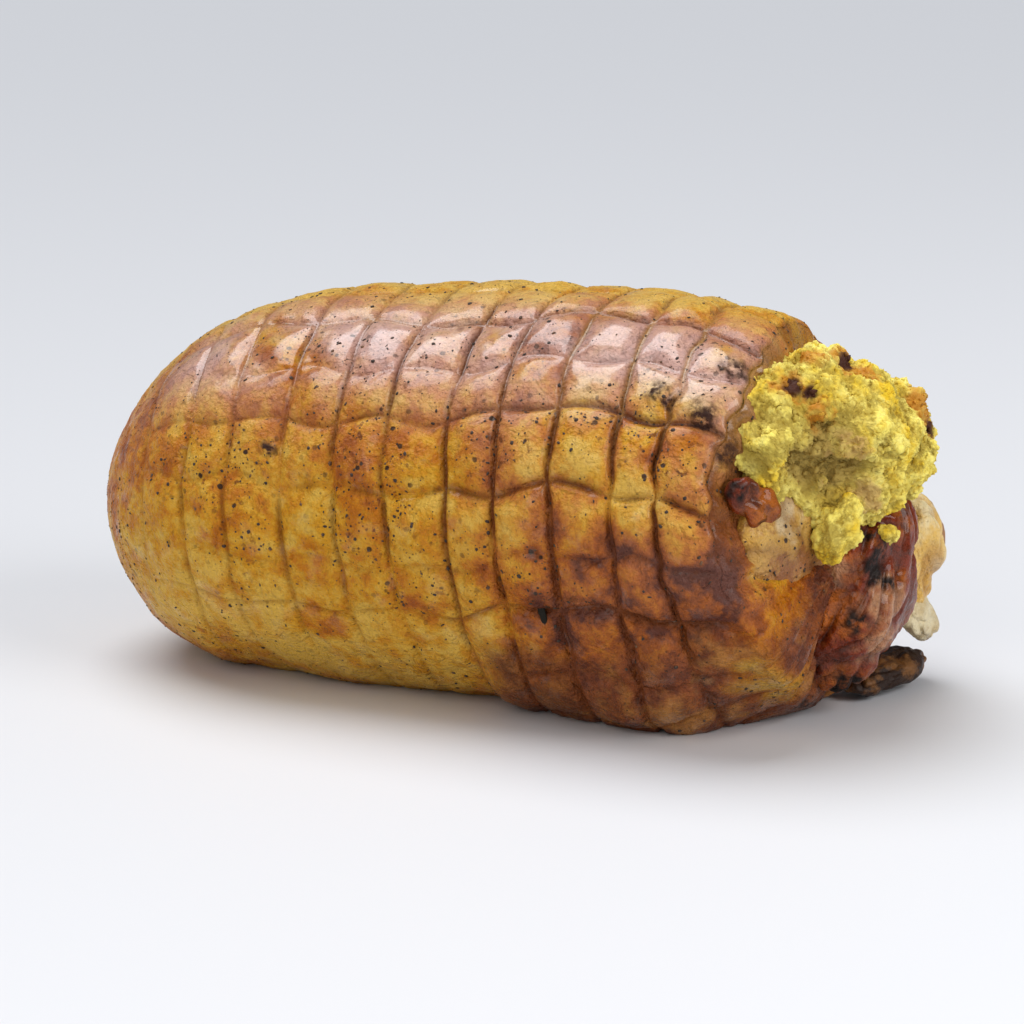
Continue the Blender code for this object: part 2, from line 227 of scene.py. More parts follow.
def centre_height(x):
    """The height of a section's middle: a little low, so that its underside is pressed flat."""
    sink = SINK_AT_DOME + (SINK - SINK_AT_DOME) * smooth(-0.085, -0.030, x)
    return TIP_HEIGHT + (half_height(x) - sink - TIP_HEIGHT) * dome_share(x, 0 * x) ** 0.8


def rim_x(angle):
    """The open end's edge, with the small nicks of torn skin."""
    cut_back = RIM_CUT_BACK * hump(angle, 62, 1.0) + RIM_NOTCH * hump(angle, 155, 0.45)
    nicks = 0.0005 * np.sin(11 * angle + 1) + 0.0004 * np.sin(23 * angle)
    nicks = nicks + 0.0005 * np.sin(38 * angle + 2)
    return RIM_X - cut_back + RIM_TONGUE * hump(angle, 218, 0.45) + nicks


def lobe_edge(x, degrees):
    """The wavy angle at which the lobe of dark meat starts below the skin."""
    return math.radians(degrees) + 0.09 * np.sin(70 * (x - LOBE_START_X))


def lobe_height(x, angle):
    """The lobe low on the near side: it swells from its edge and flattens towards the rim."""
    start = LOBE_START_X + 0.004 * np.sin(9 * angle)
    top, low = lobe_edge(x, LOBE_TOP + 3), math.radians(LOBE_LOW)
    place = smooth(start - 0.004, start + 0.007, x)
    place = place * smooth(top - 0.05, top + 0.42, angle) * (1 - smooth(low - 0.30, low, angle))
    along = 0.45 + 0.55 * smooth(LOBE_START_X, 0.050, x) - 0.8 * smooth(0.055, RIM_X, x)
    return LOBE_HEIGHT * place * along


print("hoops of the net at x, mm:", (1000 * HOOP_PLACES[3:]).round(1).tolist())

# %% [markdown]
# ## A mesh that follows the net
# The net left hoops round the log and strands along it, and the skin puffed up between them. The
# mesh runs along those same lines, with its rings and columns crowded towards each line, so that
# a groove 1 mm wide is real shape. A plain remesh would spend as many faces on the smooth cells.
# Each point keeps how far it lies from the nearest hoop and strand, for the next step.

# %% Rings and columns of the skin
CELL_COLUMNS, CELL_RINGS, NOSE_RINGS = 16, 21, 42
ROUGH_RADIUS, SEAM_WIDTH, LINE_REACH = 0.055, 0.0016, 0.0032
RIM_ROLL_STEPS = (0, 0.025, 0.08, 0.2, 1)
RIM_ROLL = (0, 0.0014, 0.0027, 0.0035, 0.0035)
RIM_CLOSING = (0.998, 0.990, 0.975, 0.95, 0.92, 0.87, 0.80, 0.65, 0.45, 0.2, 0.0)


def crowded(steps):
    """Shares of one net cell, closer together at both of its edges."""
    share = np.arange(steps) / steps
    return share - 0.085 * np.sin(math.tau * share)


def skin_rings():
    """Stations along the roll, and how far each has closed: 1 is open, 0 is a point."""
    cells = [hoop + share for hoop in range(HOOP_COUNT - 1) for share in crowded(CELL_RINGS)]
    body = np.interp(cells + [HOOP_COUNT - 1], HOOPS, HOOP_PLACES)
    nose = DOME_TIP_X + (body[0] - DOME_TIP_X) * (np.arange(NOSE_RINGS) / NOSE_RINGS) ** 1.8
    stations = np.concatenate((nose, body, np.full(len(RIM_CLOSING), LAST_HOOP_X)))
    closing = np.concatenate((np.ones(len(nose) + len(body)), RIM_CLOSING))
    return stations[:, None], closing[:, None]


def strand_angles(x, place, seam):
    """The strands' angles: they wander, swing over the nose and zigzag from hoop to hoop."""
    hoop = np.interp(x, HOOP_PLACES, HOOPS)
    angle = math.tau * place / STRAND_COUNT
    angle = angle + STRAND_WANDER * seam * np.sin(2.1 * place + 16 * x)
    angle = angle + STRAND_TWIST * seam * (1 - smooth(0.0, 0.045, x))
    return angle + STRAND_ZIGZAG * seam * np.sin(math.pi * hoop + 1.9 * place)


def leaning_stations(start_x, closing, angle):
    """Each ring's x: it leans, and bends over to follow the rim as it nears it."""
    to_rim = smooth(0.045, LAST_HOOP_X, start_x)
    lean = HOOP_LEAN * np.sin(angle) + 0.0008 * np.sin(3 * angle + 40 * start_x)
    lean *= smooth(DOME_TIP_X, DOME_END_X, start_x) * (1 - smooth(0.05, LAST_HOOP_X, start_x))
    x = start_x + (rim_x(angle) - LAST_HOOP_X) * to_rim - lean
    beyond = np.interp(1 - closing, RIM_ROLL_STEPS, RIM_ROLL)
    return np.where(closing < 1, rim_x(angle) + beyond, x)


def net_bite(x, angle):
    """How deep the net bit: most on the near side, towards the open end."""
    bite = 0.55 + 0.45 * smooth(-0.06, 0.05, x)
    bite *= smooth(DOME_TIP_X + 0.008, DOME_END_X, x)  # none on the nose
    bite *= 1 - smooth(0.080, 0.092, x)  # none at the rim
    bite = bite * (1 - 0.75 * hump(angle, 262, 0.62))  # the roll lies on these lines
    bite *= 1 - 0.45 * hump(angle, 80, 0.5)  # the top
    return bite * (1 - 0.60 * hump(angle, 222, 0.55) * (1 - smooth(-0.02, 0.03, x)))


def soft_relief(raw, x, angle):
    """Wide swells of the meat, and the sunk seam along the top of the lobe."""
    seam_away = (angle - lobe_edge(x, LOBE_TOP)) * ROUGH_RADIUS / SEAM_WIDTH
    seam_cut = np.exp(-(seam_away**2)) * smooth(0.010, 0.022, x)
    relief = 0.0018 * lumps(raw, 0.034, 3) + 0.0008 * lumps(raw, 0.014, 8)
    relief = relief - 0.0013 * seam_cut * (0.6 + 0.6 * lumps(raw, 0.018, 85))
    return relief + lobe_height(x, angle)


# %% The skin's points and marks


def skin_surface():
    """The skin's points, and the numbers that each point keeps."""
    start_x, closing = skin_rings()
    place = (np.arange(STRAND_COUNT)[:, None] + crowded(CELL_COLUMNS)).ravel()[None, :]
    seam = smooth(0, 1, place) * (1 - smooth(STRAND_COUNT - 1, STRAND_COUNT, place))
    angle = strand_angles(start_x, place, seam)
    x = leaning_stations(start_x, closing, angle)
    rough = np.stack((x, ROUGH_RADIUS * np.cos(angle), ROUGH_RADIUS * np.sin(angle)), -1)
    x = x + 0.0011 * closing * lumps(rough, 0.013, 83) * (1 - smooth(0.06, 0.08, x))
    angle = angle + 0.020 * seam * lumps(rough, 0.015, 84)
    drawn_in = RIM_DRAWN_IN + RIM_DRAWN_IN_BELOW * hump(angle, 242, 0.7)
    size = half_height(x) * dome_share(x, angle) * closing
    size *= 1 - drawn_in * smooth(RIM_START_X, 0.094, x)
    centre = centre_height(x)
    y, z = np.cos(angle), np.sin(angle)
    raw = np.stack((x, y * size, centre + z * size), -1)
    relief = soft_relief(raw, x, angle) * smooth(0, 0.5, size / HALF_HEIGHT) * closing
    points = on_axis(x, y * (size * WIDTH_RATIO + relief), centre + z * (size + relief)) + SHIFT
    points[..., 2] = np.maximum(points[..., 2], 0)
    hoop, strand = np.interp(start_x, HOOP_PLACES, HOOPS) + 0 * place, np.round(place)
    hoop_gap = np.abs(hoop - np.round(hoop)) * HOOP_PITCH
    strand_gap = np.abs(place - strand) * math.tau * size / STRAND_COUNT
    near_line = np.exp(-((np.minimum(hoop_gap, strand_gap) / LINE_REACH) ** 2))
    biting = 0.85 + 0.15 * smooth(-0.03, 0.05, x)
    marks = {
        "hoop_gap": hoop_gap,
        "strand_gap": strand_gap,
        "bite": net_bite(x, angle),
        "strand_bite": (0.62 + 0.38 * np.sin(2.4 * strand)) * biting,
        **skin_colour_marks(points, x, angle, (hoop, place), near_line),
    }
    return points, marks


# %% [markdown]
# ## Where the roast is pale, brown, bare and burnt
# The oven colours a roast by place: the top and the ends brown first, the low side stays pale,
# and the highest edges of some cells burn. These marks are painted by rule: browning from the
# height and the length, a tint for each net cell, the bare dark meat of the lobe, and burnt
# spots at a few named places. Painted light is mixed in as well: shade low on the side, a sheen
# on the wet upper band, and paler patches as sheen round two burnt cells. A material can then
# mix its colours with them from any side. Each place is x, y, z and a radius in millimetres, and
# a soft patch has its strength as well.

# %% Browning, bare meat and char
BURNT_CELLS = (
    (59.4, -41.4, 87.7, 4.2),
    (73.9, -32.2, 93.3, 4.4),
    (69.2, -43.7, 82.7, 4.2),
    (76.0, -43.0, 76.0, 4.5),
    (-43.7, -50.1, 67.4, 2.5),
    (88.5, -12.0, 3.0, 7.0),
    (87.0, -2.0, 2.0, 6.0),
)
BROWNER = (
    (-88.6, -41.4, 56.7, 15, 0.06),
    (-92.0, -33.0, 66.0, 9, 0.16),
    (-30.8, -49.1, 23.9, 7, 0.30),
    (-1.6, -51.4, 27.6, 8, 0.14),
    (-18.7, -52.4, 66.1, 6, 0.10),
    (14.2, -52.7, 72.6, 6, 0.14),
    (18.2, -55.9, 48.6, 7, 0.16),
    (35.2, -55.4, 57.6, 6, 0.22),
    (48.5, -56.1, 51.5, 7, 0.16),
    (78.4, -54.0, 46.5, 9, 0.12),
    (64.0, -54.0, 43.0, 17, 0.20),
    (34.0, -52.0, 33.0, 12, 0.14),
)
PALER = (
    (-54.4, -48.8, 68.9, 6, 0.22),
    (32.1, -54.3, 70.7, 5, 0.30),
    (57.7, -53.4, 64.1, 8, 0.45),
    (43.3, -43.2, 85.6, 7, 0.25),
    (57.7, -47.1, 80.0, 6, 0.25),
    (-4.8, -12.2, 102.8, 10, 0.20),
    # Painted sheen: these last two lighten round burnt cells, where the wet skin shines
    (59.4, -41.4, 87.7, 9, 0.26),
    (72.0, -36.0, 91.0, 10, 0.26),
)
PALE_TONGUE = (
    (88.5, -38.0, 47.0, 7, 0.40),
    (87.0, -41.8, 39.6, 11, 0.32),
    (88.2, -27.8, 13.3, 9, 0.45),
    (83.0, -40.0, 20.0, 9, 0.35),
)


def browning(points, x, angle, open_side, near_line):
    """How brown each point is, from 0 to 1: the oven's browning, with painted shade low on the side
    and painted sheen round two burnt cells.
    """
    # The near shoulder browned, and the very top stayed golden
    brown = 0.38 + 0.20 * hump(angle, 122, 0.35) - 0.36 * hump(angle, 78, 0.50)
    # Low on the side the skin is pale at the nose's end, and brown above the lobe
    brown = brown - 0.26 * hump(angle, 222, 0.70) * (1 - open_side)
    brown = brown + 0.30 * hump(angle, 203, 0.35) * smooth(0.025, 0.055, x)
    brown = brown + 0.09 * hump(angle, 165, 0.9) * (1 - smooth(-0.105, -0.080, x))
    # Cells darken towards their edges, and nothing is even
    brown = brown + open_side * (0.26 * near_line - 0.06)
    brown = brown + 0.17 * lumps(points, 0.022, 41) + 0.20 * lumps(points, 0.007, 43)
    # Painted shade: the low side is made browner towards the underside, as if in shadow
    brown = brown + 0.12 * hump(angle, 238, 0.4) + 0.06 * hump(angle, 196, 0.35)
    brown = brown + patches(points, BROWNER) - patches(points, PALER + PALE_TONGUE)
    return np.clip(brown, 0, 1)


def bare_meat(points, x, angle):
    """1 where the lobe's dark meat has no skin over it."""
    top = lobe_edge(x, LOBE_TOP + 2) + 0.10 * lumps(points, 0.012, 47)
    bare = smooth(top - 0.06, top + 0.10, angle) * (1 - smooth(4.75, 5.3, angle))
    bare *= smooth(0.010, 0.020, x + 0.004 * lumps(points, 0.009, 49))
    return bare * (1 - 0.75 * np.minimum(1, 2 * patches(points, PALE_TONGUE)))


def cell_tint(hoop, place):
    """One number from 0 to 1 for each cell of the net, as if by chance."""
    cell = np.floor(hoop + 0.001) * 7.31 + np.floor(place + 0.001) % STRAND_COUNT * 3.17
    return np.sin(cell * 12.9898) * 43758.5453 % 1


def skin_colour_marks(points, x, angle, cells, near_line):
    """How brown, bare, burnt and wet each point of the skin is, where sheen is painted, and its
    cell's own tint.
    """
    open_side = smooth(-0.01, 0.05, x)
    # Wet skin on the upper band: this mark sets the gloss and also where a painted sheen lies
    wet_and_painted_sheen = 0.03 + 0.97 * hump(angle, 124, 0.32) * smooth(-0.105, -0.07, x)
    return {
        "brown": browning(points, x, angle, open_side, near_line),
        "bare": bare_meat(points, x, angle),
        "char": spots(points, BURNT_CELLS, 5),
        "tint": cell_tint(*cells),
        "wet_and_painted_sheen": wet_and_painted_sheen + 0.08 * open_side * hump(angle, 165, 0.6),
        "pepper": 0.25 + smooth(-0.2, 0.5, lumps(points, 0.022, 41)) * hump(angle, 165, 1.0),
        "ridge": smooth(0.0, 0.05, x) * hump(angle, 118, 0.45),
    }


skin = closed_surface("netted_skin", *skin_surface())
print("skin before the net:", triangles(skin), "triangles")

# %% [markdown]
# ## Node helpers
# The next steps build node trees in code. One helper adds a node and joins its inputs, and a
# second one starts a Geometry Nodes tree with named sizes, so that a learner can change a groove
# or a crumb in the modifier panel without reading the tree. A last one runs a tree on a piece and
# keeps the result as a plain mesh, since the exported model carries no modifiers.

# %% Helpers for node trees


def feed(tree, value, socket):
    """Joins a node's output to a socket, or sets the socket to a plain value."""
    if isinstance(value, bpy.types.NodeSocket):
        tree.links.new(value, socket)
    else:
        socket.default_value = value


def put(tree, kind, inputs=None, **settings):
    """Adds a node with its settings, and feeds its inputs by name or number."""
    node = tree.nodes.new(kind)
    for setting, value in settings.items():
        setattr(node, setting, value)
    for key, value in (inputs or {}).items():
        feed(tree, value, node.inputs[key])
    return node


def maths(tree, operation, *values, clamp=False):
    """The result of one Math node."""
    inputs = dict(enumerate(values))
    return put(tree, "ShaderNodeMath", inputs, operation=operation, use_clamp=clamp).outputs[0]


def vector(tree, operation, first, second):
    """The result of one Vector Math node. To scale, the second value is a number."""
    inputs = {0: first, "Scale" if operation == "SCALE" else 1: second}
    return put(tree, "ShaderNodeVectorMath", inputs, operation=operation).outputs[0]


def ends_of(tree):
    """The outputs of a tree's input node, and the inputs of its output node."""
    return tree.nodes.new("NodeGroupInput").outputs, tree.nodes.new("NodeGroupOutput").inputs


# %% Helpers for Geometry Nodes
SOCKET_KINDS = {
    float: "NodeSocketFloat",
    int: "NodeSocketInt",
    bpy.types.Material: "NodeSocketMaterial",
}


def shape_recipe(name, sizes):
    """A Geometry Nodes tree with an input for each size, and its two ends."""
    tree = bpy.data.node_groups.new(name, "GeometryNodeTree")
    tree.interface.new_socket("Geometry", in_out="INPUT", socket_type="NodeSocketGeometry")
    for label, value in sizes.items():
        kind = SOCKET_KINDS[type(value)]
        socket = tree.interface.new_socket(label, in_out="INPUT", socket_type=kind)
        socket.default_value = value
    tree.interface.new_socket("Geometry", in_out="OUTPUT", socket_type="NodeSocketGeometry")
    return tree, *ends_of(tree)


def mark_of(tree, name):
    """A number that the mesh keeps at its points."""
    kind = "GeometryNodeInputNamedAttribute"
    return put(tree, kind, {"Name": name}, data_type="FLOAT").outputs[0]


def noise_of(tree, scale, seed, detail=2.0, roughness=0.5):
    """Four-dimensional noise, whose fourth number is the seed."""
    inputs = {"Scale": scale, "W": seed, "Detail": detail, "Roughness": roughness}
    return put(tree, "ShaderNodeTexNoise", inputs, noise_dimensions="4D").outputs[0]


def push_out(tree, geometry, height):
    """Moves points along their normals."""
    offset = vector(tree, "SCALE", put(tree, "GeometryNodeInputNormal").outputs[0], height)
    inputs = {"Geometry": geometry, "Offset": offset}
    return put(tree, "GeometryNodeSetPosition", inputs).outputs[0]


def keep_mark(tree, geometry, name, value):
    """Keeps a number at the mesh's points for the material."""
    inputs = {"Geometry": geometry, "Name": name, "Value": value}
    kind = "GeometryNodeStoreNamedAttribute"
    return put(tree, kind, inputs, data_type="FLOAT", domain="POINT").outputs[0]


def finish_recipe(tree, geometry, material, output):
    """Ends a tree: real geometry with its material."""
    real = put(tree, "GeometryNodeRealizeInstances", {"Geometry": geometry}).outputs[0]
    inputs = {"Geometry": real, "Material": material}
    dressed = put(tree, "GeometryNodeSetMaterial", inputs).outputs[0]
    tree.links.new(dressed, output["Geometry"])
    return tree


# %% Running a tree on a piece


def run_recipe(obj, tree, sizes):
    """Runs a tree on a piece, and keeps the result as its plain mesh, all above the floor."""
    modifier = obj.modifiers.new(tree.name, "NODES")
    modifier.node_group = tree
    for item in tree.interface.items_tree:
        if item.item_type == "SOCKET" and item.in_out == "INPUT" and item.name in sizes:
            modifier[item.identifier] = sizes[item.name]
    graph = bpy.context.evaluated_depsgraph_get()
    mesh = bpy.data.meshes.new_from_object(obj.evaluated_get(graph))
    old = obj.data
    obj.modifiers.clear()
    obj.data = mesh
    bpy.data.meshes.remove(old)
    mesh.name = obj.name
    mesh.shade_smooth()
    places = np.zeros(len(mesh.vertices) * 3, np.float32)
    mesh.vertices.foreach_get("co", places)
    places[2::3] = np.maximum(places[2::3], 0)
    mesh.vertices.foreach_set("co", places)
    mesh.update()
    print(obj.name, triangles(obj), "triangles")


# %% [markdown]
# ## Shared looks: blotches, pepper and fine wrinkles
# Cooked skin is never one colour. Three shader groups serve all the food's materials: blotches
# with soft or hard edges, pepper specks of uneven size, and fine wrinkles. They read object
# coordinates, so the pattern stays on the piece from every side.

# %% Shader groups


def look_group(name, output, **inputs):
    """A shader group with number inputs and one output, and its two ends."""
    tree = bpy.data.node_groups.new(name, "ShaderNodeTree")
    for label, value in inputs.items():
        socket = tree.interface.new_socket(label, in_out="INPUT", socket_type="NodeSocketFloat")
        socket.default_value = value
    tree.interface.new_socket(output, in_out="OUTPUT", socket_type="NodeSocketFloat")
    return tree, *ends_of(tree)


def fade_between(tree, value, low, high):
    """A smooth step from 0 at low to 1 at high."""
    inputs = {"Value": value, "From Min": low, "From Max": high}
    return put(tree, "ShaderNodeMapRange", inputs, interpolation_type="SMOOTHSTEP").outputs[0]


def here(tree):
    return put(tree, "ShaderNodeTexCoord").outputs["Object"]


def make_blotches():
    """A mask of blotches: less of them at a higher level, harder edges at a lower softness."""
    sizes = {"Scale": 60.0, "Level": 0.5, "Softness": 0.08, "Seed": 0.0}
    tree, given, result = look_group("blotches", "Mask", **sizes)
    inputs = {"Vector": here(tree), "W": given["Seed"], "Scale": given["Scale"]}
    inputs |= {"Detail": 4.0, "Roughness": 0.62}
    value = put(tree, "ShaderNodeTexNoise", inputs, noise_dimensions="4D").outputs[0]
    low = maths(tree, "SUBTRACT", given["Level"], given["Softness"])
    high = maths(tree, "ADD", given["Level"], given["Softness"])
    tree.links.new(fade_between(tree, value, low, high), result["Mask"])
    return tree


def make_specks():
    """Specks of pepper: the middle of some Voronoi cells, ragged by noise."""
    sizes = {"Scale": 260.0, "Size": 0.2, "Amount": 0.3, "Seed": 0.0}
    tree, given, result = look_group("pepper_specks", "Mask", **sizes)
    place = here(tree)
    inputs = {"Vector": place, "Scale": 900.0, "Detail": 2.0}
    ragged = put(tree, "ShaderNodeTexNoise", inputs).outputs[0]
    inputs = {"Vector": vector(tree, "ADD", place, given["Seed"]), "Scale": given["Scale"]}
    cells = put(tree, "ShaderNodeTexVoronoi", inputs).outputs
    inputs = {"Vector": cells["Color"]}
    chosen = put(tree, "ShaderNodeTexWhiteNoise", inputs, noise_dimensions="3D").outputs[0]
    picked = maths(tree, "LESS_THAN", chosen, given["Amount"])
    edge = maths(tree, "ADD", cells["Distance"], maths(tree, "MULTIPLY", ragged, 0.25))
    edge = maths(tree, "SUBTRACT", edge, 0.12)
    inside = fade_between(tree, edge, given["Size"], maths(tree, "MULTIPLY", given["Size"], 0.6))
    tree.links.new(maths(tree, "MULTIPLY", picked, inside), result["Mask"])
    return tree


def make_wrinkles():
    """Height of fine wrinkles and pores."""
    tree, given, result = look_group("fine_wrinkles", "Height", Scale=260.0, Seed=0.0)
    place = here(tree)
    inputs = {"Vector": place, "W": given["Seed"], "Scale": given["Scale"]}
    inputs |= {"Detail": 4.0, "Distortion": 0.9}
    long_folds = put(tree, "ShaderNodeTexNoise", inputs, noise_dimensions="4D").outputs[0]
    folds = maths(tree, "ABSOLUTE", maths(tree, "SUBTRACT", long_folds, 0.5))
    inputs = {"Vector": place, "Scale": 900.0, "Detail": 3.0}
    pores = put(tree, "ShaderNodeTexNoise", inputs).outputs[0]
    tree.links.new(maths(tree, "MULTIPLY_ADD", pores, 0.42, folds), result["Height"])
    return tree


BLOTCHES, SPECKS, WRINKLES = make_blotches(), make_specks(), make_wrinkles()

# %% [markdown]
# ## Materials in layers
# A cook sees skin as a base colour with things laid over it: pale fat, browning, char, pepper.
# The class below builds a material in that order. Each layer is one Mix node with a mask, so a
# layer can be read, moved or left out by one line. What is the same all over a piece is set on
# the shader's own sockets, which is how the exported model keeps it.

# %% Helpers for materials


class Finish:
    """A material that starts as one colour and takes more layers by mask."""

    def __init__(self, name, colour, roughness, bump=0.0004, **constant):
        self.material = bpy.data.materials.new(name)
        self.material.use_nodes = True
        self.tree = self.material.node_tree
        self.shader = self.tree.nodes["Principled BSDF"]
        self.shader.inputs["Coat Weight"].default_value = constant.get("coat", 0.0)
        self.shader.inputs["Coat Roughness"].default_value = constant.get("coat_roughness", 0.3)
        self.shader.inputs["Specular IOR Level"].default_value = constant.get("specular", 0.5)
        self.colour, self.roughness, self.bump = (*colour, 1), roughness, bump

    def group(self, group, **inputs):
        """A shader group's mask or height, with these values of its own."""
        node = put(self.tree, "ShaderNodeGroup", node_tree=group)
        for label, value in inputs.items():
            node.inputs[label.capitalize()].default_value = value
        return node.outputs[0]

    def blotches(self, scale, level, softness, seed):
        """A mask of blotches: less of them at a higher level."""
        return self.group(BLOTCHES, scale=scale, level=level, softness=softness, seed=seed)

    def mark(self, name):
        """A number that the mesh keeps. It reads as 0 on a piece that hasn't got it."""
        return put(self.tree, "ShaderNodeAttribute", attribute_name=name).outputs["Fac"]

    def times(self, *values):
        result = values[0]
        for value in values[1:]:
            result = maths(self.tree, "MULTIPLY", result, value)
        return result

    def plus(self, tone, value, weight):
        """A tone raised by a value from 0 to 1, by half its weight up or down."""
        lowered = maths(self.tree, "SUBTRACT", tone, weight / 2)
        return maths(self.tree, "MULTIPLY_ADD", value, weight, lowered)

    def blend(self, first, second, mask):
        inputs = {0: mask, 6: first, 7: second}
        return put(self.tree, "ShaderNodeMix", inputs, data_type="RGBA").outputs[2]

    def layer(self, colour, *masks):
        """Lays a colour over what is there, as strongly as the masks say together."""
        self.colour = self.blend(self.colour, (*colour, 1), self.times(*masks))

    def duller(self, roughness, mask):
        """Moves the gloss towards a roughness where the mask is."""
        inputs = {0: mask, 2: self.roughness, 3: roughness}
        self.roughness = put(self.tree, "ShaderNodeMix", inputs, data_type="FLOAT").outputs[0]

    def varnish(self, weight):
        """How wet the surface is from place to place."""
        self.tree.links.new(weight, self.shader.inputs["Coat Weight"])

    def done(self, height=None):
        """Joins all layers to the shader, with fine relief if a height is given."""
        feed(self.tree, self.colour, self.shader.inputs["Base Color"])
        feed(self.tree, self.roughness, self.shader.inputs["Roughness"])
        if height is not None:
            inputs = {"Height": height, "Distance": self.bump, "Strength": 1.0}
            bump = put(self.tree, "ShaderNodeBump", inputs).outputs[0]
            self.tree.links.new(bump, self.shader.inputs["Normal"])
        return self.material


# %% [markdown]
# ## Roast skin
# The skin runs from pale yellow low on the side, through amber, to orange-brown and nearly black
# at burnt edges. One ramp holds that whole range, and the painted browning with noise and the
# cell's tint picks a place on it. Grooves, bare meat, char and pepper are laid over it. The
# grooves' dark brown is partly painted shade, and a pinkish beige on the wet upper band is a
# painted sheen.

# %% The skin's colour by browning
SKIN_TONES = (
    (0.08, (0.72, 0.43, 0.060)),
    (0.30, (0.64, 0.30, 0.012)),
    (0.52, (0.52, 0.170, 0.003)),
    (0.74, (0.35, 0.082, 0.002)),
    (1.00, (0.095, 0.018, 0.005)),
)


def toned(tree, tone, stops):
    """A colour ramp through the stops, read at the tone."""
    ramp = put(tree, "ShaderNodeValToRGB", {"Fac": tone})
    while len(ramp.color_ramp.elements) < len(stops):
        ramp.color_ramp.elements.new(0.5)
    for element, (place, colour) in zip(ramp.color_ramp.elements, stops):
        element.position = place
        element.color = (*colour, 1)
    return ramp.outputs[0]


# %% The skin's material


def skin_finish():
    shine = {"specular": 0.14, "coat_roughness": 0.17}
    look = Finish("roast_skin", (0.6, 0.3, 0.05), 0.36, bump=0.0032, **shine)
    fine = look.blotches(240.0, 0.5, 0.16, 2.0)
    tone = look.plus(look.mark("brown"), look.blotches(58.0, 0.5, 0.22, 1.0), 0.30)
    tone = look.plus(look.plus(tone, fine, 0.30), look.mark("tint"), 0.12)
    look.colour = toned(look.tree, tone, SKIN_TONES)
    bare_tone = look.blend((0.25, 0.060, 0.014, 1), (0.10, 0.022, 0.007, 1), fine)
    bare_tone = look.blend(bare_tone, (0.46, 0.20, 0.045, 1), look.blotches(70.0, 0.60, 0.10, 9.0))
    look.colour = look.blend(look.colour, bare_tone, look.times(look.mark("bare"), 0.88))
    # Painted sheen: pinkish beige laid over the wet upper band, where the skin reflects the light
    # above
    look.layer((0.74, 0.49, 0.44), look.mark("wet_and_painted_sheen"), look.blotches(42.0, 0.44, 0.14, 7.0), 0.70)
    # Dark brown in the net's grooves: partly the skin's own browning, partly painted shade in the
    # recess
    groove = look.times(look.mark("groove"), look.blotches(55.0, 0.44, 0.10, 3.0))
    look.layer((0.17, 0.042, 0.007), maths(look.tree, "MULTIPLY", groove, 1.35, clamp=True))
    look.layer((0.68, 0.38, 0.09), look.mark("ridge_line"), 0.55)
    scorched = look.times(look.mark("char"), look.blotches(330.0, 0.47, 0.10, 4.0))
    look.layer((0.045, 0.018, 0.012), scorched)
    peppered = look.mark("pepper")
    look.layer((0.17, 0.048, 0.010), look.blotches(300.0, 0.625, 0.04, 6.0), peppered, 0.8)
    coarse = look.times(look.group(SPECKS, scale=330.0, size=0.30, amount=0.26), peppered)
    grains = look.group(SPECKS, scale=760.0, size=0.30, amount=0.22, seed=3.0)
    specks = maths(look.tree, "MAXIMUM", coarse, look.times(grains, peppered), clamp=True)
    look.layer((0.05, 0.022, 0.010), specks)
    fat = look.times(look.blotches(150.0, 0.58, 0.05, 8.0), 0.55)
    wet_and_painted_sheen = maths(look.tree, "MAXIMUM", look.mark("wet_and_painted_sheen"), fat)
    unburnt = maths(look.tree, "SUBTRACT", 1.0, scorched, clamp=True)
    look.varnish(look.times(wet_and_painted_sheen, unburnt))
    look.duller(0.60, scorched)
    look.duller(0.30, look.times(look.mark("bare"), 0.7))
    return look.done(look.group(WRINKLES, scale=210.0))


SKIN_LOOK = skin_finish()

# %% [markdown]
# ## Pressing the net into the skin
# Between the lines the skin swells like a quilt. The tree below is a rule, not a drawing: near a
# line the surface drops, in the middle of a cell it rises, and noise makes each line bite more
# in one place than in another. Near the top a thin pale ridge is left inside the groove, where
# the thread kept the skin from browning.

# %% Net marks with Geometry Nodes
NET_SIZES = {
    "Groove Depth": 0.0021,
    "Groove Width": 0.0009,
    "Cell Crown": 0.0015,
    "Ridge Height": 0.0011,
    "Wrinkle Height": 0.0013,
    "Seed": 4.0,
    "Skin": SKIN_LOOK,
}


def fall_off(tree, squared, steepness):
    """1 on a line, falling to 0 beside it, from the squared distance in groove widths."""
    return maths(tree, "EXPONENT", maths(tree, "MULTIPLY", squared, -steepness))


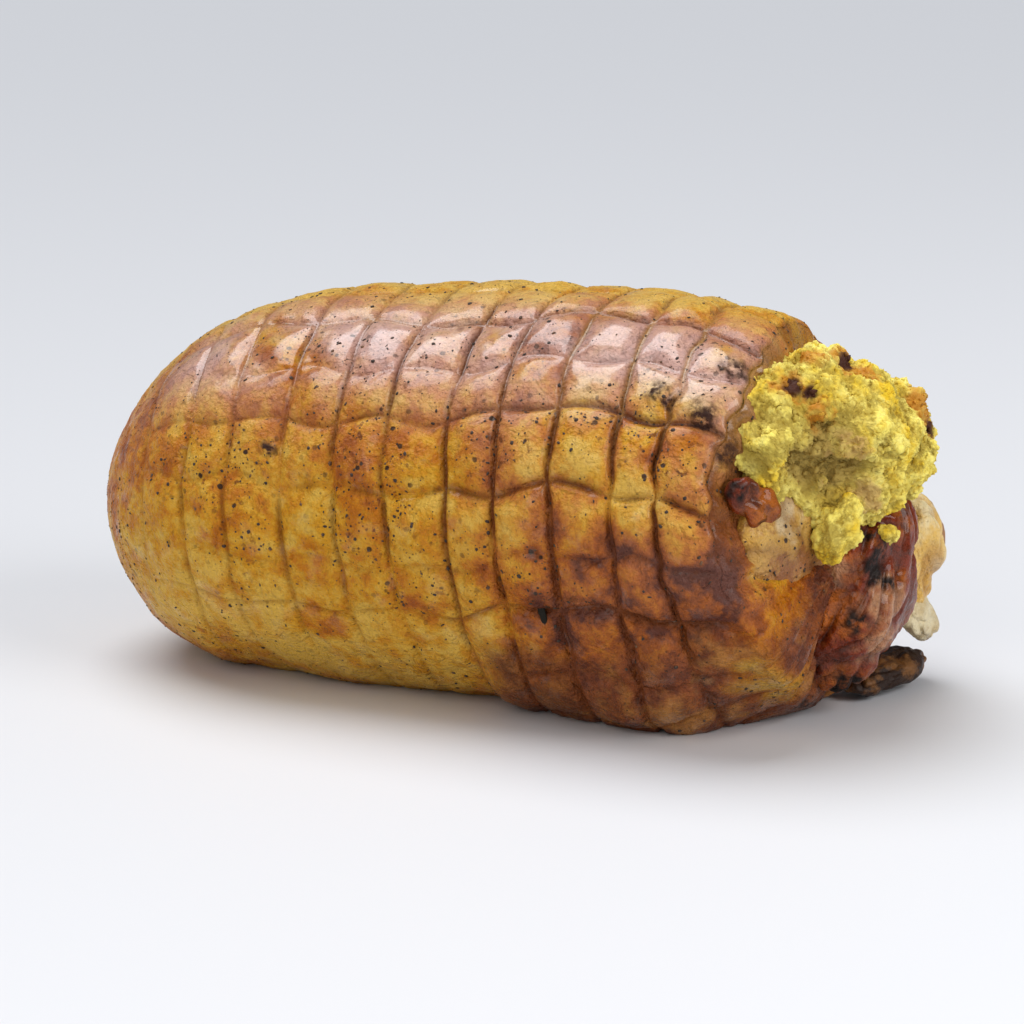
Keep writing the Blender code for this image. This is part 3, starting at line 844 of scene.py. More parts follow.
def make_net_press():
    tree, given, result = shape_recipe("press_net", NET_SIZES)
    uneven = maths(tree, "MULTIPLY_ADD", noise_of(tree, 55.0, given["Seed"]), 1.7, -0.05)
    bite = mark_of(tree, "bite")
    lines, cells, threads = [], [], []
    for mark, share in (("hoop_gap", 1.0), ("strand_gap", mark_of(tree, "strand_bite"))):
        gap = maths(tree, "DIVIDE", mark_of(tree, mark), given["Groove Width"])
        squared = maths(tree, "MULTIPLY", gap, gap)
        lines.append(maths(tree, "MULTIPLY", fall_off(tree, squared, 1.0), share))
        cells.append(maths(tree, "SUBTRACT", 1.0, fall_off(tree, squared, 0.07)))
        threads.append(fall_off(tree, squared, 1.2))
    groove = maths(tree, "MULTIPLY", maths(tree, "MAXIMUM", *lines), uneven, clamp=True)
    groove = maths(tree, "MULTIPLY", groove, bite)
    pillow = maths(tree, "MULTIPLY", maths(tree, "MULTIPLY", *cells), bite)
    ridge = maths(tree, "MULTIPLY", threads[0], mark_of(tree, "ridge"))
    ridge = maths(tree, "MULTIPLY", ridge, maths(tree, "MULTIPLY", bite, uneven))
    height = maths(tree, "MULTIPLY", pillow, given["Cell Crown"])
    drop = maths(tree, "MULTIPLY", groove, given["Groove Depth"])
    height = maths(tree, "SUBTRACT", height, drop)
    height = maths(tree, "MULTIPLY_ADD", ridge, given["Ridge Height"], height)
    folds = maths(tree, "SUBTRACT", noise_of(tree, 230.0, given["Seed"], 3.0, 0.6), 0.5)
    height = maths(tree, "MULTIPLY_ADD", folds, given["Wrinkle Height"], height)
    pressed = push_out(tree, given["Geometry"], height)
    # The groove mark also places painted shade in the skin's material
    pressed = keep_mark(tree, pressed, "groove", groove)
    pressed = keep_mark(tree, pressed, "ridge_line", ridge)
    return finish_recipe(tree, pressed, given["Skin"], result)


run_recipe(skin, make_net_press(), NET_SIZES)

# %% [markdown]
# ## The cornbread head
# The stuffing swelled out of the open end while it cooked, and broke into crumb. Its large form
# is a blunt, squashed dome with the solid part's hollows. A second tree breaks the surface into
# clumps and grains with two sizes of Voronoi cells, which have the round backs and sharp gaps
# of crumb. It is used for each piece of cornbread.

# %% The stuffing's large form
HEAD_START_X, HEAD_MOUTH_X, HEAD_END_X = 0.064, 0.080, 0.1140
HEAD_CENTRE, HEAD_RADII = (0.0035, 0.0703), (0.0400, 0.0236)
HEAD_TILT, HEAD_BLUNTNESS = math.radians(-9), 2.5
CRUMB_DEPTH, COARSE_CRUMB, FINE_CRUMB, SPILL = 0.0070, 0.0125, 0.0055, 0.0042
CORE_CENTRE, CORE_RADII = (0.002, 0.058), (0.022, 0.018)
TOASTED = (
    (86.5, -27.0, 88.0, 5.5),
    (92.0, -26.0, 83.0, 4.5),
    (88.0, -14.0, 94.0, 4.0),
    (94.2, -2.9, 89.9, 7.0),
    (98.3, -8.3, 90.4, 5.0),
    (108.7, 15.9, 76.2, 8.0),
)
BURNT_TIPS = (
    (86.5, -27.0, 88.8, 3.4),
    (90.5, -25.0, 87.5, 2.4),
    (93.2, -2.0, 92.0, 3.2),
    (109.5, 18.5, 73.0, 3.0),
)
GREY_BITS = ((101.6, -26.8, 74.8, 6.5), (104.7, -18.7, 61.0, 6.5), (96.0, -31.0, 66.0, 6.0))
DENTS = (  # a dent of negative strength is a bump
    (97.1, -32.5, 74.3, 8, 0.9),
    (93.5, -34.1, 66.5, 7, 1.0),
    (101.2, -24.5, 65.7, 9, 1.2),
    (90.5, -37.0, 70.0, 4.5, 0.6),
    (90.9, -27.2, 80.0, 5, 0.8),
    (84.5, -37.0, 74.0, 6, -0.7),
    (86.0, -24.0, 88.5, 4, -0.7),
    (104.5, -10.0, 84.0, 8, -0.2),
    (108.0, -11.0, 73.0, 7, -0.4),
)


def head_section(x, angle, past):
    """The stuffing's points: a core that swells into a squashed dome and spills over the rim."""
    closing = np.sqrt(np.maximum(0, 1 - past**HEAD_BLUNTNESS))
    swell = smooth(HEAD_START_X, HEAD_MOUTH_X, x)
    centre = [core + (full - core) * swell for core, full in zip(CORE_CENTRE, HEAD_CENTRE)]
    radii = [core + (full - core) * swell for core, full in zip(CORE_RADII, HEAD_RADII)]
    spill = SPILL * hump(angle, 160, 0.80) * smooth(0.070, 0.082, x) * (1 - smooth(0.086, 0.102, x))
    across = np.cos(angle) * radii[0] * closing + spill * np.cos(angle)
    up = np.sin(angle) * radii[1] * closing + spill * np.sin(angle)
    tilt = HEAD_TILT * swell
    y = centre[0] + across * np.cos(tilt) - up * np.sin(tilt)
    z = centre[1] + across * np.sin(tilt) + up * np.cos(tilt)
    inward = np.stack((-past + 0 * angle, -np.cos(angle) * closing, -np.sin(angle) * closing), -1)
    inward /= np.linalg.norm(inward, axis=-1)[..., None] + 1e-9
    return on_axis(x + 0 * angle, y, z), inward


def stuffing_surface(rings=170, around=460):
    """The stuffing's points with its hollows, and the numbers that each point keeps."""
    share = np.sin(math.pi / 2 * np.arange(rings + 1) / rings)
    head = HEAD_START_X + (HEAD_END_X - HEAD_START_X) * share
    x = np.concatenate(([HEAD_START_X - 0.004], head))[:, None]
    angle = math.tau * np.arange(around)[None, :] / around
    past = np.maximum(0, (x - HEAD_MOUTH_X) / (HEAD_END_X - HEAD_MOUTH_X))
    point, inward = head_section(x, angle, past)
    coarse, fine = lumps(point, COARSE_CRUMB, 5), lumps(point, FINE_CRUMB, 31)
    shown = smooth(HEAD_MOUTH_X - 0.006, HEAD_MOUTH_X + 0.004, x)
    hollow = np.clip(0.42 - 0.62 * coarse - 0.36 * fine, 0, 1)
    hollow = np.clip(hollow + patches(point + SHIFT, DENTS), -0.4, 1.6) * shown
    point = point + inward * (CRUMB_DEPTH * hollow)[..., None] + SHIFT
    marks = {
        # The hollow mark also places painted shade in the material
        "hollow": np.clip(hollow, 0, 1.3),
        "toast": spots(point, TOASTED, 11),
        "char": spots(point, BURNT_TIPS, 12),
        "meat": spots(point, GREY_BITS, 13),
        "crumbly": shown + 0 * angle,
    }
    return point, marks


stuffing = closed_surface("cornbread_head", *stuffing_surface())
print("stuffing before crumbling:", triangles(stuffing), "triangles")

# %% [markdown]
# ## Cornbread's colour
# Corn flour gives a strong yellow. Olive brown in the gaps between grains and in the hollows is
# painted shade, which leaves the grains' backs paler. The tips that met the oven's air are
# toasted orange or burnt, and bits of the filling's meat show as greyer brown.

# %% The crumb's material


def crumb_finish():
    look = Finish("cornbread_crumb", (0.98, 0.82, 0.17), 0.75, bump=0.0010, specular=0.2)
    look.layer((0.96, 0.83, 0.22), look.blotches(260.0, 0.55, 0.08, 21.0))
    look.layer((0.86, 0.58, 0.030), look.blotches(75.0, 0.54, 0.10, 22.0))
    # Painted shade: olive brown in the gaps between grains, and deeper in the hollows
    look.layer((0.42, 0.29, 0.042), look.mark("gap"), 0.80)
    look.layer((0.42, 0.29, 0.070), look.mark("hollow"), look.mark("hollow"), 0.62)
    look.layer((0.52, 0.32, 0.11), look.mark("meat"), look.blotches(150.0, 0.45, 0.12, 23.0), 0.85)
    toasted = look.times(look.mark("toast"), look.blotches(110.0, 0.38, 0.12, 24.0))
    look.layer((0.56, 0.21, 0.012), toasted, 0.9)
    look.layer((0.07, 0.022, 0.012), look.mark("char"))
    look.duller(0.45, toasted)
    return look.done(look.group(WRINKLES, scale=420.0))


CRUMB_LOOK = crumb_finish()

# %% [markdown]
# ## Breaking the surface into crumb
# Bread breaks round its grains: the backs are round and the gaps between them are sharp. Voronoi
# cells have that form, so their distance gives the height, at the size of a clump and again at
# the size of a grain. The places are shaken by noise first, or the cells would look cut out.

# %% Crumbling with Geometry Nodes
CRUMBLE_SIZES = {
    "Clump Size": 0.0058,
    "Clump Height": 0.0017,
    "Grain Size": 0.0013,
    "Grain Height": 0.0008,
    "Roughness": 0.0080,
    "Seed": 7.0,
    "Crumb": CRUMB_LOOK,
}
SHAKE = 0.0022


def shaken_place(tree):
    """Each point's place, moved a little by noise."""
    place = put(tree, "GeometryNodeInputPosition").outputs[0]
    inputs = {"Vector": place, "Scale": 420.0, "Detail": 2.0}
    ragged = put(tree, "ShaderNodeTexNoise", inputs).outputs["Color"]
    move = vector(tree, "SCALE", vector(tree, "SUBTRACT", ragged, (0.5, 0.5, 0.5)), SHAKE)
    return vector(tree, "ADD", place, move)


def cell_backs(tree, place, size, seed):
    """Round backs of Voronoi cells, high in the middle of each cell."""
    inputs = {"Vector": place, "W": seed, "Scale": maths(tree, "DIVIDE", 1.0, size)}
    settings = {"voronoi_dimensions": "4D", "feature": "F1"}
    far = put(tree, "ShaderNodeTexVoronoi", inputs, **settings).outputs["Distance"]
    return maths(tree, "SUBTRACT", 0.45, maths(tree, "MULTIPLY", far, far))


def make_crumble():
    tree, given, result = shape_recipe("crumble", CRUMBLE_SIZES)
    place = shaken_place(tree)
    clumps = cell_backs(tree, place, given["Clump Size"], given["Seed"])
    grains = cell_backs(tree, place, given["Grain Size"], given["Seed"])
    broken_up = maths(tree, "SUBTRACT", noise_of(tree, 210.0, given["Seed"], 6.0, 0.72), 0.5)
    height = maths(tree, "MULTIPLY", broken_up, given["Roughness"])
    height = maths(tree, "MULTIPLY_ADD", clumps, given["Clump Height"], height)
    height = maths(tree, "MULTIPLY_ADD", grains, given["Grain Height"], height)
    height = maths(tree, "MULTIPLY", height, mark_of(tree, "crumbly"))
    broken = push_out(tree, given["Geometry"], height)
    # The gap mark places painted shade between clumps and grains in the material
    gap = maths(tree, "MULTIPLY_ADD", broken_up, -3.4, maths(tree, "SUBTRACT", 0.26, clumps))
    gap = maths(tree, "MULTIPLY_ADD", grains, -0.4, gap)
    broken = keep_mark(tree, broken, "gap", maths(tree, "MULTIPLY", gap, 3.2, clamp=True))
    return finish_recipe(tree, broken, given["Crumb"], result)


CRUMBLE = make_crumble()
run_recipe(stuffing, CRUMBLE, CRUMBLE_SIZES)

# %% [markdown]
# ## The inner bird's end
# Below the stuffing the inner bird shows as moist meat with soft folds: a pale lump with pepper on
# it, browner below. It is a sleeve round the stuffing in the solid part, and only its end is
# seen, so its rings are crowded there.

# %% The inner bird
INNER_TIP_X, INNER_END_X = 0.050, 0.0950
INNER_RADII, INNER_CENTRE = (0.037, 0.034), (0.001, 0.050)
INNER_FOLD, FOLD_STRETCH = 0.013, (1.6, 1, 1)
PALE_LUMP = ((88.5, -31.8, 58.5, 6.5),)


def inner_surface(rings=150, around=360):
    share = 0.5 - 0.5 * np.cos(math.pi * np.arange(rings + 1) / rings)[:, None]
    angle = math.tau * np.arange(around)[None, :] / around
    end_x = INNER_END_X + 0.0015 * hump(angle, 182, 0.40)
    x = INNER_TIP_X + (end_x - INNER_TIP_X) * share
    to_end = np.clip((end_x - x) / 0.012, 0, 1)
    closing = np.sqrt(1 - (1 - to_end) ** 2.2) * np.sqrt(np.clip(share * 12, 0, 1))
    mouth = smooth(0.064, 0.088, x)
    size = (1 + 0.14 * mouth * hump(angle, 178, 0.6)) * closing
    y, z = np.cos(angle), np.sin(angle)
    across, up = y * INNER_RADII[0] * size, z * INNER_RADII[1] * size
    point = on_axis(x, INNER_CENTRE[0] + across, INNER_CENTRE[1] + up)
    outward = np.stack((1 - closing, y * closing, z * closing), -1)
    hollow = 0.0022 * (1 - np.abs(lumps(point, 0.016, 21))) * mouth
    folds = 0.0012 * creases(point, INNER_FOLD, 66, FOLD_STRETCH)
    folds = folds + 0.0011 * lumps(point, 0.0045, 62) + 0.0005 * lumps(point, 0.0018, 63)
    point = point + outward * (folds * mouth - hollow)[..., None] + SHIFT
    above = smooth(0.042, 0.053, point[..., 2] + 0.003 * lumps(point, 0.006, 68))
    marks = {
        "pepper": 0.8 * mouth + 0 * angle,
        "pale": spots(point, PALE_LUMP, 15),
        # Painted shade in the creases of the folds
        "crease_shade": 1 - creases(point - SHIFT, INNER_FOLD, 66, FOLD_STRETCH),
        "edge": 0.8 * (1 - above),
    }
    return point, marks


inner = closed_surface("inner_bird_end", *inner_surface())

# %% The inner bird's material


def poultry_finish():
    shine = {"coat": 0.25, "specular": 0.3, "coat_roughness": 0.15}
    look = Finish("inner_poultry_meat", (0.62, 0.32, 0.040), 0.40, bump=0.0022, **shine)
    look.layer((0.68, 0.40, 0.09), look.blotches(80.0, 0.50, 0.15, 31.0))
    look.layer((0.34, 0.13, 0.028), look.blotches(130.0, 0.54, 0.08, 32.0))
    look.layer((0.84, 0.66, 0.38), look.mark("pale"), look.blotches(190.0, 0.46, 0.10, 33.0), 0.85)
    # Painted shade: darker in the creases of the folds
    look.layer((0.20, 0.08, 0.025), look.mark("crease_shade"), 0.6)
    look.layer((0.30, 0.10, 0.025), look.mark("edge"), 0.8)
    look.layer((0.04, 0.02, 0.012), look.group(SPECKS, scale=300.0, size=0.28, amount=0.16))
    return look.done(look.group(WRINKLES, scale=260.0, seed=5.0))


inner.data.materials.append(poultry_finish())
print("inner bird:", triangles(inner), "triangles")

# %% [markdown]
# ## Folds at the open end
# A flap of shiny browned skin, a fold of meat, a curl, a strip, a piece of stuffing and a burnt
# edge hang together at the open end. Each is a leaf or lump in its own frame, like the solid
# below it, with finer folds along its length: a squashed ball that is bent, bumped and creased.
# The names and values of their sizes are the solid part's, with the folds added.

# %% Leaves and lumps


def frame_of(along, facing):
    """Three axes as rows: X along the piece, Z as near facing as can be."""
    x_axis = Vector(along).normalized()
    y_axis = Vector(facing).cross(x_axis).normalized()
    return np.array((x_axis, y_axis, x_axis.cross(y_axis)))


def leaf(centre, along, facing, radii, bend, bumps, seed,
         folds=0.0, fold_size=0.004, rings=110, around=150):
    """A leaf's points, how far each is out of a fold, and its direction in the leaf's frame."""
    polar = math.pi * np.arange(rings + 1)[:, None] / rings
    turn = math.tau * np.arange(around)[None, :] / around
    ring = np.sin(polar)
    unit = np.stack((-np.cos(polar) + 0 * turn, ring * np.cos(turn), ring * np.sin(turn)), -1)
    local = unit * np.array(radii)
    local[..., 2] -= bend * unit[..., 0] ** 2
    bump = bumps * lumps(local, max(radii) * 0.5, seed)
    wrinkle = creases(local, fold_size, seed + 50, (3.2, 1, 1))
    bump = bump + folds * (wrinkle - 0.6) + 0.25 * folds * lumps(local, 0.0018, seed + 51)
    points = (local + unit * bump[..., None]) @ frame_of(along, facing) + np.array(centre) + SHIFT
    points[..., 2] = np.maximum(points[..., 2], 0)
    return points, wrinkle, unit


def dressed_leaf(name, shape, material=None, spotted=None, edge=None):
    """Builds a leaf. spotted holds the places and the seed of each kind of spot on it."""
    points, wrinkle, unit = leaf(**shape)
    # The crease mark places painted shade in the leaf's folds
    marks = {"crease_shade": 1 - wrinkle, "crumbly": 1 + 0 * wrinkle}
    marks |= {mark: spots(points, *places) for mark, places in (spotted or {}).items()}
    if edge:
        marks["edge"] = edge(points, unit)
    obj = closed_surface(name, points, marks)
    if material:
        obj.data.materials.append(material)
    print(name, triangles(obj), "triangles")
    return obj


# %% [markdown]
# ## Shiny browned skin
# The flap and the curl are bare skin that basted itself in fat. They are the glossiest and
# darkest pieces: red-brown with amber thin places, and char along the highest edges. Their
# creases are darkened as painted shade.

# %% Browned skin
FLAP_CHAR = (
    (101.7, -7.3, 50.2, 4.0),
    (104.4, -5.6, 45.5, 4.5),
    (103.6, -8.4, 40.9, 4.5),
    (101.0, -12.5, 28.2, 4.0),
    (105.6, -3.6, 36.0, 3.0),
    (96.0, -4.0, 9.0, 5.5),
)
FLAP_AMBER = ((95.6, -15.5, 31.0, 8.0), (98.5, -13.5, 42.0, 5.0))
FLAP_PALE = ((106.5, -6.0, 30.5, 9.0), (103.6, -2.7, 20.0, 8.0), (95.7, -14.1, 40.0, 4.5))


def browned_finish():
    shine = {"specular": 0.12, "coat_roughness": 0.10}
    look = Finish("browned_skin", (0.22, 0.026, 0.003), 0.40, bump=0.0032, **shine)
    look.layer((0.42, 0.11, 0.008), look.blotches(75.0, 0.55, 0.09, 41.0))
    look.layer((0.10, 0.022, 0.010), look.blotches(120.0, 0.58, 0.08, 42.0))
    amber = look.times(look.mark("amber"), look.blotches(110.0, 0.46, 0.12, 45.0))
    look.layer((0.60, 0.15, 0.008), amber, 0.85)
    look.layer((0.60, 0.31, 0.15), look.mark("pale"), look.blotches(120.0, 0.42, 0.12, 44.0), 0.75)
    # Painted shade: darker in the creases of the folds
    look.layer((0.09, 0.02, 0.007), look.mark("crease_shade"), 0.65)
    burnt = look.times(look.mark("char"), look.blotches(260.0, 0.42, 0.12, 43.0))
    look.layer((0.018, 0.011, 0.009), burnt)
    look.varnish(maths(look.tree, "MULTIPLY_ADD", burnt, -0.35, 0.42))
    look.duller(0.6, burnt)
    return look.done(look.group(WRINKLES, scale=240.0, seed=8.0))


BROWNED_LOOK = browned_finish()

# %% The flap and the curl
FLAP_SHAPE = dict(
    centre=(0.0990, 0.0010, 0.0335),
    along=(8, 15, 41),
    facing=(1, -0.30, 0.1),
    radii=(0.0270, 0.0175, 0.0100),
    bend=0.004, bumps=0.0030, seed=4, folds=0.0016, fold_size=0.0060,
)
CURL_SHAPE = dict(
    centre=(0.0835, -0.0415, 0.0625),
    along=(6, 13, -12),
    facing=(0.6, -1, 0.4),
    radii=(0.0095, 0.0048, 0.0028),
    bend=0.002, bumps=0.0020, seed=9, folds=0.0007, fold_size=0.0042,
)
CURL_CHAR = ((80.0, -46.5, 67.0, 3.2), (86.0, -42.0, 58.0, 2.0))
FLAP_SPOTS = {"char": (FLAP_CHAR, 17), "amber": (FLAP_AMBER, 19), "pale": (FLAP_PALE, 20)}
flap = dressed_leaf("browned_flap", FLAP_SHAPE, BROWNED_LOOK, FLAP_SPOTS)
curl = dressed_leaf("crisp_curl", CURL_SHAPE, BROWNED_LOOK, {"char": (CURL_CHAR, 18)})

# %% [markdown]
# ## Moist inner meat
# The fold at the right is layered, fibrous poultry: yellow-orange, with browned skin where it
# turns away, and painted shade in its creases. The strip below it is the palest meat, and only
# its tip is toasted.

# %% Sizes of the meat fold, pale strip and burnt edge
FOLD_SHAPE = dict(
    centre=(0.0975, 0.0300, 0.0370),
    along=(1, -3, 14),
    facing=(1, 0.5, 0),
    radii=(0.0170, 0.0150, 0.0140),
    bend=0.001, bumps=0.0026, seed=27, folds=0.0014, fold_size=0.0050,
)
STRIP_SHAPE = dict(
    centre=(0.1040, 0.0320, 0.0200),
    along=(2, 21, -12),
    facing=(1, 0, 0.6),
    radii=(0.0150, 0.0065, 0.0045),
    bend=0.003, bumps=0.0014, seed=17, folds=0.0009, fold_size=0.0035,
)
EDGE_SHAPE = dict(
    centre=(0.0980, 0.0250, 0.0053),
    along=(9, 28, 2),
    facing=(0, 0, 1),
    radii=(0.0170, 0.0075, 0.0040),
    bend=0.0006, bumps=0.0012, seed=22, folds=0.0010, fold_size=0.0035,
)


def fold_edge(points, unit):
    """The fold browns where it turns away from the open end."""
    away = unit[..., 2] * 0.65 - unit[..., 1] * 0.75
    return smooth(0.42, 0.85, away + 0.2 * lumps(points, 0.006, 53))


def strip_edge(points, unit):
    """Only the strip's tip is toasted."""
    return smooth(0.62, 0.92, unit[..., 0] + 0.12 * lumps(points, 0.004, 63))


# %% Their materials


def fold_finish():
    look = Finish("folded_meat", (0.86, 0.58, 0.17), 0.42, bump=0.0020, coat=0.15)
    look.layer((0.82, 0.46, 0.06), look.blotches(65.0, 0.50, 0.12, 51.0))
    look.layer((0.90, 0.74, 0.42), look.blotches(80.0, 0.53, 0.10, 52.0))
    # Painted shade: darker in the creases of the folds
    look.layer((0.40, 0.17, 0.03), look.mark("crease_shade"), 0.65)
    look.layer((0.30, 0.10, 0.02), look.mark("edge"), 0.85)
    return look.done(look.group(WRINKLES, scale=300.0, seed=11.0))


def strip_finish():
    look = Finish("pale_meat", (0.80, 0.68, 0.42), 0.45, bump=0.0014, coat=0.15)
    look.layer((0.60, 0.44, 0.20), look.blotches(120.0, 0.52, 0.12, 61.0))
    look.layer((0.30, 0.13, 0.03), look.mark("edge"))
    return look.done(look.group(WRINKLES, scale=350.0, seed=12.0))


def burnt_finish():
    look = Finish("charred_meat", (0.030, 0.013, 0.007), 0.5, bump=0.001, coat=0.05, specular=0.2)
    look.layer((0.20, 0.085, 0.025), look.blotches(150.0, 0.55, 0.08, 71.0))
    return look.done(look.group(WRINKLES, scale=330.0, seed=14.0))


meat_fold = dressed_leaf("layered_meat", FOLD_SHAPE, fold_finish(), edge=fold_edge)
strip = dressed_leaf("pale_strip_meat", STRIP_SHAPE, strip_finish(), edge=strip_edge)
burnt_edge = dressed_leaf("burnt_rim", EDGE_SHAPE, burnt_finish())

# %% [markdown]
# ## Loose cornbread
# One piece of stuffing stuck between the flap and the inner bird, and a crumb lies on the flap.
# They go through the same crumbling tree as the head, with smaller clumps, so all break alike.

# %% The stuck piece of cornbread and the flap's crumb
CHUNK_SHAPE = dict(
    centre=(0.0980, -0.0205, 0.0535),
    along=(4, 5, 12),
    facing=(1, -1, 0.2),
    radii=(0.0085, 0.0050, 0.0042),
    bend=0.0, bumps=0.0022, seed=13,
)
CRUMB_SHAPE = dict(
    centre=(0.1056, -0.0040, 0.0490),
    along=(3, 6, -2),
    facing=(1, -0.4, 0.2),
    radii=(0.0034, 0.0021, 0.0016),
    bend=0.0, bumps=0.0008, seed=33, rings=50, around=60,
)
SMALL_CLUMPS = {"Clump Size": 0.0042, "Clump Height": 0.0012, "Roughness": 0.0055}
chunk = dressed_leaf("stuck_cornbread", CHUNK_SHAPE)
flap_crumb = dressed_leaf("flap_crumb", CRUMB_SHAPE)
for piece in (chunk, flap_crumb):
    run_recipe(piece, CRUMBLE, CRUMBLE_SIZES | SMALL_CLUMPS)

# %% [markdown]
# ## Pepper and crumbs
# Coarse pepper and herbs lie on the skin, and loose crumbs on the stuffing. Each is the same
# small round stone, scattered by one tree. How thickly it is scattered comes from a number that
# the surface keeps, so that pepper gathers on the side and crumbs only where the stuffing shows.

# %% Sizes of pepper and crumbs


def pepper_finish():
    look = Finish("cracked_pepper", (0.035, 0.018, 0.010), 0.6)
    look.layer((0.16, 0.075, 0.03), look.blotches(300.0, 0.58, 0.05, 81.0))
    return look.done()


PEPPER_SIZES = {
    "Per Square Metre": 210000.0,
    "Smallest": 0.00014,
    "Largest": 0.00068,
    "Flatness": 0.40,
    "Seed": 3,
    "Finish": pepper_finish(),
}
LOOSE_CRUMB_SIZES = {
    "Per Square Metre": 340000.0,
    "Smallest": 0.00025,
    "Largest": 0.0014,
    "Flatness": 0.55,
    "Seed": 5,
    "Finish": CRUMB_LOOK,
}

# %% Scattering with Geometry Nodes


def chance(tree, low, high, seed):
    """A random number for each point."""
    inputs = {2: low, 3: high, "Seed": seed}
    return put(tree, "FunctionNodeRandomValue", inputs, data_type="FLOAT").outputs[1]


def lying_turned(tree, rotation):
    """Lays each stone on the surface, and turns it there by chance."""
    spin = put(tree, "ShaderNodeCombineXYZ", {2: chance(tree, 0.0, 6.28, 1)}).outputs[0]
    spin = put(tree, "FunctionNodeEulerToRotation", {0: spin}).outputs[0]
    inputs = {0: rotation, 1: spin}
    return put(tree, "FunctionNodeRotateRotation", inputs, rotation_space="LOCAL").outputs[0]


def uneven_sizes(tree, given):
    """Mostly small stones and a few large ones, each of its own width."""
    power = maths(tree, "POWER", chance(tree, 0.0, 1.0, 2), 4.0)
    span = maths(tree, "SUBTRACT", given["Largest"], given["Smallest"])
    size = maths(tree, "MULTIPLY_ADD", power, span, given["Smallest"])
    width = maths(tree, "MULTIPLY", size, chance(tree, 0.35, 1.0, 4))
    inputs = {0: size, 1: width, 2: maths(tree, "MULTIPLY", size, given["Flatness"])}
    return put(tree, "ShaderNodeCombineXYZ", inputs).outputs[0]


def make_scatter():
    tree, given, result = shape_recipe("scatter", PEPPER_SIZES)
    density = maths(tree, "MULTIPLY", mark_of(tree, "scatter"), given["Per Square Metre"])
    inputs = {"Mesh": given["Geometry"], "Density": density, "Seed": given["Seed"]}
    spread = put(tree, "GeometryNodeDistributePointsOnFaces", inputs).outputs
    stone = put(tree, "GeometryNodeMeshIcoSphere", {"Radius": 1.0, "Subdivisions": 1}).outputs[0]
    inputs = {"Points": spread["Points"], "Instance": stone, "Scale": uneven_sizes(tree, given)}
    inputs["Rotation"] = lying_turned(tree, spread["Rotation"])
    stones = put(tree, "GeometryNodeInstanceOnPoints", inputs).outputs[0]
    real = put(tree, "GeometryNodeRealizeInstances", {"Geometry": stones}).outputs[0]
    place = put(tree, "GeometryNodeInputPosition").outputs[0]
    inputs = {"Vector": place, "Scale": 2600.0, "Detail": 1.0}
    ragged = put(tree, "ShaderNodeTexNoise", inputs).outputs[0]
    height = maths(tree, "MULTIPLY", maths(tree, "SUBTRACT", ragged, 0.5), given["Largest"])
    return finish_recipe(tree, push_out(tree, real, height), given["Finish"], result)


SCATTER = make_scatter()

# %% Pepper on the skin and the inner bird, crumbs on the stuffing


def scatter_on(name, base, mark, sizes):
    """Scatters small stones over a piece, as thickly as one of its marks says."""
    mesh = base.data.copy()
    values = np.zeros(len(mesh.vertices), np.float32)
    mesh.attributes[mark].data.foreach_get("value", values)
    mesh.attributes.new("scatter", "FLOAT", "POINT").data.foreach_set("value", values)
    obj = bpy.data.objects.new(name, mesh)
    bpy.context.scene.collection.objects.link(obj)
    run_recipe(obj, SCATTER, sizes)
    return obj


pepper = scatter_on("pepper_flecks", skin, "pepper", PEPPER_SIZES)
end_pepper = scatter_on("end_pepper", inner, "pepper", PEPPER_SIZES)
crumbs = scatter_on("loose_crumbs", stuffing, "crumbly", LOOSE_CRUMB_SIZES)

# %% [markdown]
# ## A leaf of dried herb
# One dark leaf lies on the near side. It is a single thing at a known place, so nothing is
# scattered: the nearest point of the finished skin gives its height and the way it faces.

# %% The herb leaf
HERB_SPOT, HERB_LIFT = Vector((0.0324, -0.0529, 0.0346)), 0.0007
near = min(skin.data.vertices, key=lambda vertex: (vertex.co - HERB_SPOT).length)
HERB_SHAPE = dict(
    centre=np.array(near.co) + HERB_LIFT * np.array(near.normal) - SHIFT,
    along=(0.30, 0.0, -1),
    facing=near.normal,
    radii=(0.0034, 0.0013, 0.0007),
    bend=0.0, bumps=0.0004, seed=6, rings=30, around=30,
)
HERB_LOOK = Finish("dried_herb", (0.012, 0.010, 0.006), 0.6, specular=0.15).done()
herb = dressed_leaf("herb_leaf", HERB_SHAPE, HERB_LOOK)

# %% [markdown]
# ## Joining the solid part
# Each finer surface stands for the solid that it was laid over, and rides on the one body.

# %% Pieces and the solids that they stand for
PIECES = (
    (skin, "turkey_roll", "roast_skin"),
    (stuffing, "cornbread_stuffing", "cornbread"),
    (inner, "inner_poultry", "inner_poultry"),
    (flap, "folded_flap", "browned_skin"),
    (curl, "skin_curl", "browned_skin"),
    (meat_fold, "meat_fold", "inner_poultry"),
    (strip, "pale_strip", "pale_meat"),
    (burnt_edge, "charred_edge", "charred_meat"),
    (chunk, "stuffing_chunk", "cornbread"),
    (flap_crumb, None, "cornbread"),
    (crumbs, None, "cornbread"),
    (pepper, None, "roast_skin"),
    (end_pepper, None, "inner_poultry"),
    (herb, None, "roast_skin"),
)
for piece, node, slot in PIECES:
    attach(piece, "root")
    if node:
        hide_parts(node)
        low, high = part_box(node)
        corners = np.array([corner[:] for corner in piece.bound_box])
        past = [*(np.array(low) - corners.min(0)), *(corners.max(0) - np.array(high))]
        print(node, "past its solid, mm:", [round(1000 * float(side), 1) for side in past])

# %% [markdown]
# ## Floor and light
# The roast stands on a plain pale floor. A wide soft light from above and a little behind gives
# the broad sheen on the top of the log, as a window would, and two weaker ones open the near side
# and the open end. A sun with a wide angle is used above, because it shines alike from every
# side: an area light would leave its own outline in the wet skin.

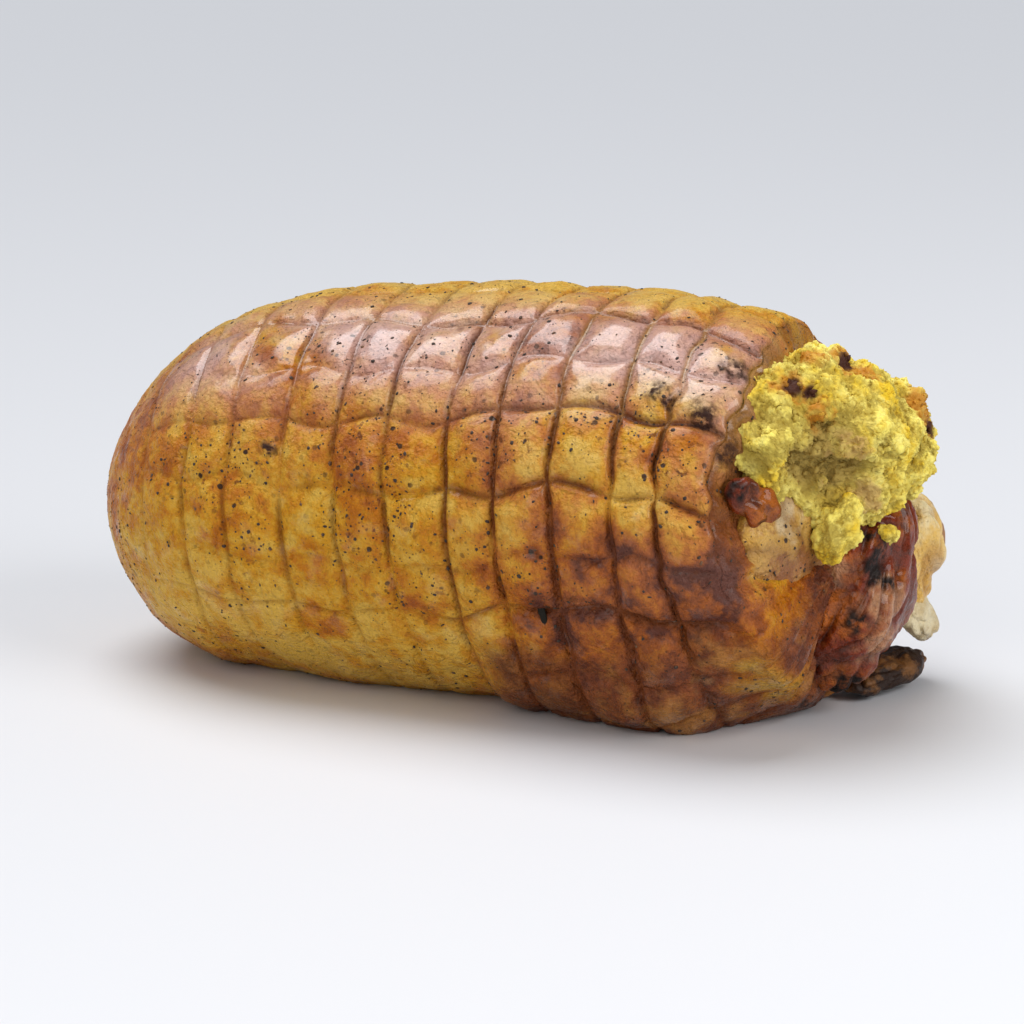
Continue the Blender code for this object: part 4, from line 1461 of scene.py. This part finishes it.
# %% Floor and lights
LIGHT_HEIGHT, FLOOR_SIZE = 0.05, 90


def turned_to(name, light, direction, distance=0.0):
    """Puts a light into the scene, looking at the roast from a direction."""
    obj = bpy.data.objects.new(name, light)
    bpy.context.scene.collection.objects.link(obj)
    away = Vector(direction).normalized()
    obj.location = away * distance + Vector((0, 0, LIGHT_HEIGHT))
    obj.rotation_euler = away.to_track_quat("Z", "Y").to_euler()


def soft_light(name, direction, distance, size, power, colour=(1, 1, 1)):
    """A square light, a given distance away."""
    light = bpy.data.lights.new(name, "AREA")
    light.shape, light.size = "SQUARE", size
    light.energy, light.color = power, colour
    turned_to(name, light, direction, distance)


def sky_light(name, direction, width, strength, colour):
    """A wide, even light from far away, like a bright window seen from everywhere."""
    light = bpy.data.lights.new(name, "SUN")
    light.angle = math.radians(width)
    light.energy, light.color = strength, colour
    turned_to(name, light, direction)


bpy.ops.mesh.primitive_plane_add(size=FLOOR_SIZE, location=(0, 0, 0))
floor = bpy.context.active_object
floor.name = "floor"
floor.data.materials.append(Finish("pale_floor", (0.71, 0.71, 0.73), 0.6).done())
floor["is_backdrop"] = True
sky_light("window_above", (-0.32, 0.12, 0.94), 48, 2.58, (0.95, 0.975, 1.0))
soft_light("near_side", (-0.10, -1.0, 0.62), 1.5, 0.9, 5.8, (1.0, 0.95, 0.88))
soft_light("open_end", (1.0, -0.22, 0.60), 1.4, 0.8, 10)

# %% The room's light
ROOM_COLOUR, ROOM_STRENGTH = (0.80, 0.84, 0.92, 1), 0.22
world = bpy.data.worlds.new("room")
world.use_nodes = True
background = world.node_tree.nodes["Background"].inputs
background["Color"].default_value = ROOM_COLOUR
background["Strength"].default_value = ROOM_STRENGTH
bpy.context.scene.world = world
bpy.context.scene.view_settings.view_transform = "Standard"

# %% [markdown]
# ## Camera
# The roast is seen from its near side, turned a little towards the open end and from slightly
# above. A long lens from a step away keeps the log's far end nearly as large as its near one.

# %% The camera
CAMERA_TURN, CAMERA_RISE, CAMERA_DISTANCE = math.radians(23), math.radians(13), 0.756
AIM_RIGHT, AIM_HEIGHT, LENS, SENSOR = 0.002, 0.0444, 100, 36
flat = math.cos(CAMERA_RISE)
facing = (math.sin(CAMERA_TURN) * flat, -math.cos(CAMERA_TURN) * flat, math.sin(CAMERA_RISE))
back = Vector(facing)
right = Vector((math.cos(CAMERA_TURN), math.sin(CAMERA_TURN), 0))
aim = right * AIM_RIGHT + Vector((0, 0, AIM_HEIGHT)) + Vector(SHIFT)
lens = bpy.data.cameras.new("long_lens")
lens.lens, lens.sensor_width = LENS, SENSOR
camera = bpy.data.objects.new("camera", lens)
bpy.context.scene.collection.objects.link(camera)
camera.location = aim + back * CAMERA_DISTANCE
camera.rotation_euler = back.to_track_quat("Z", "Y").to_euler()
bpy.context.scene.camera = camera

# %% [markdown]
# ## Measure and finish
# The last cell prints how large the shown model is. It should be nearly as large as the solid
# part, because the finer surfaces only add skin and crumb.

# %% Measure and finish
low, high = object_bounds()
print("shown model, mm:", [round(1000 * size, 1) for size in high - low])
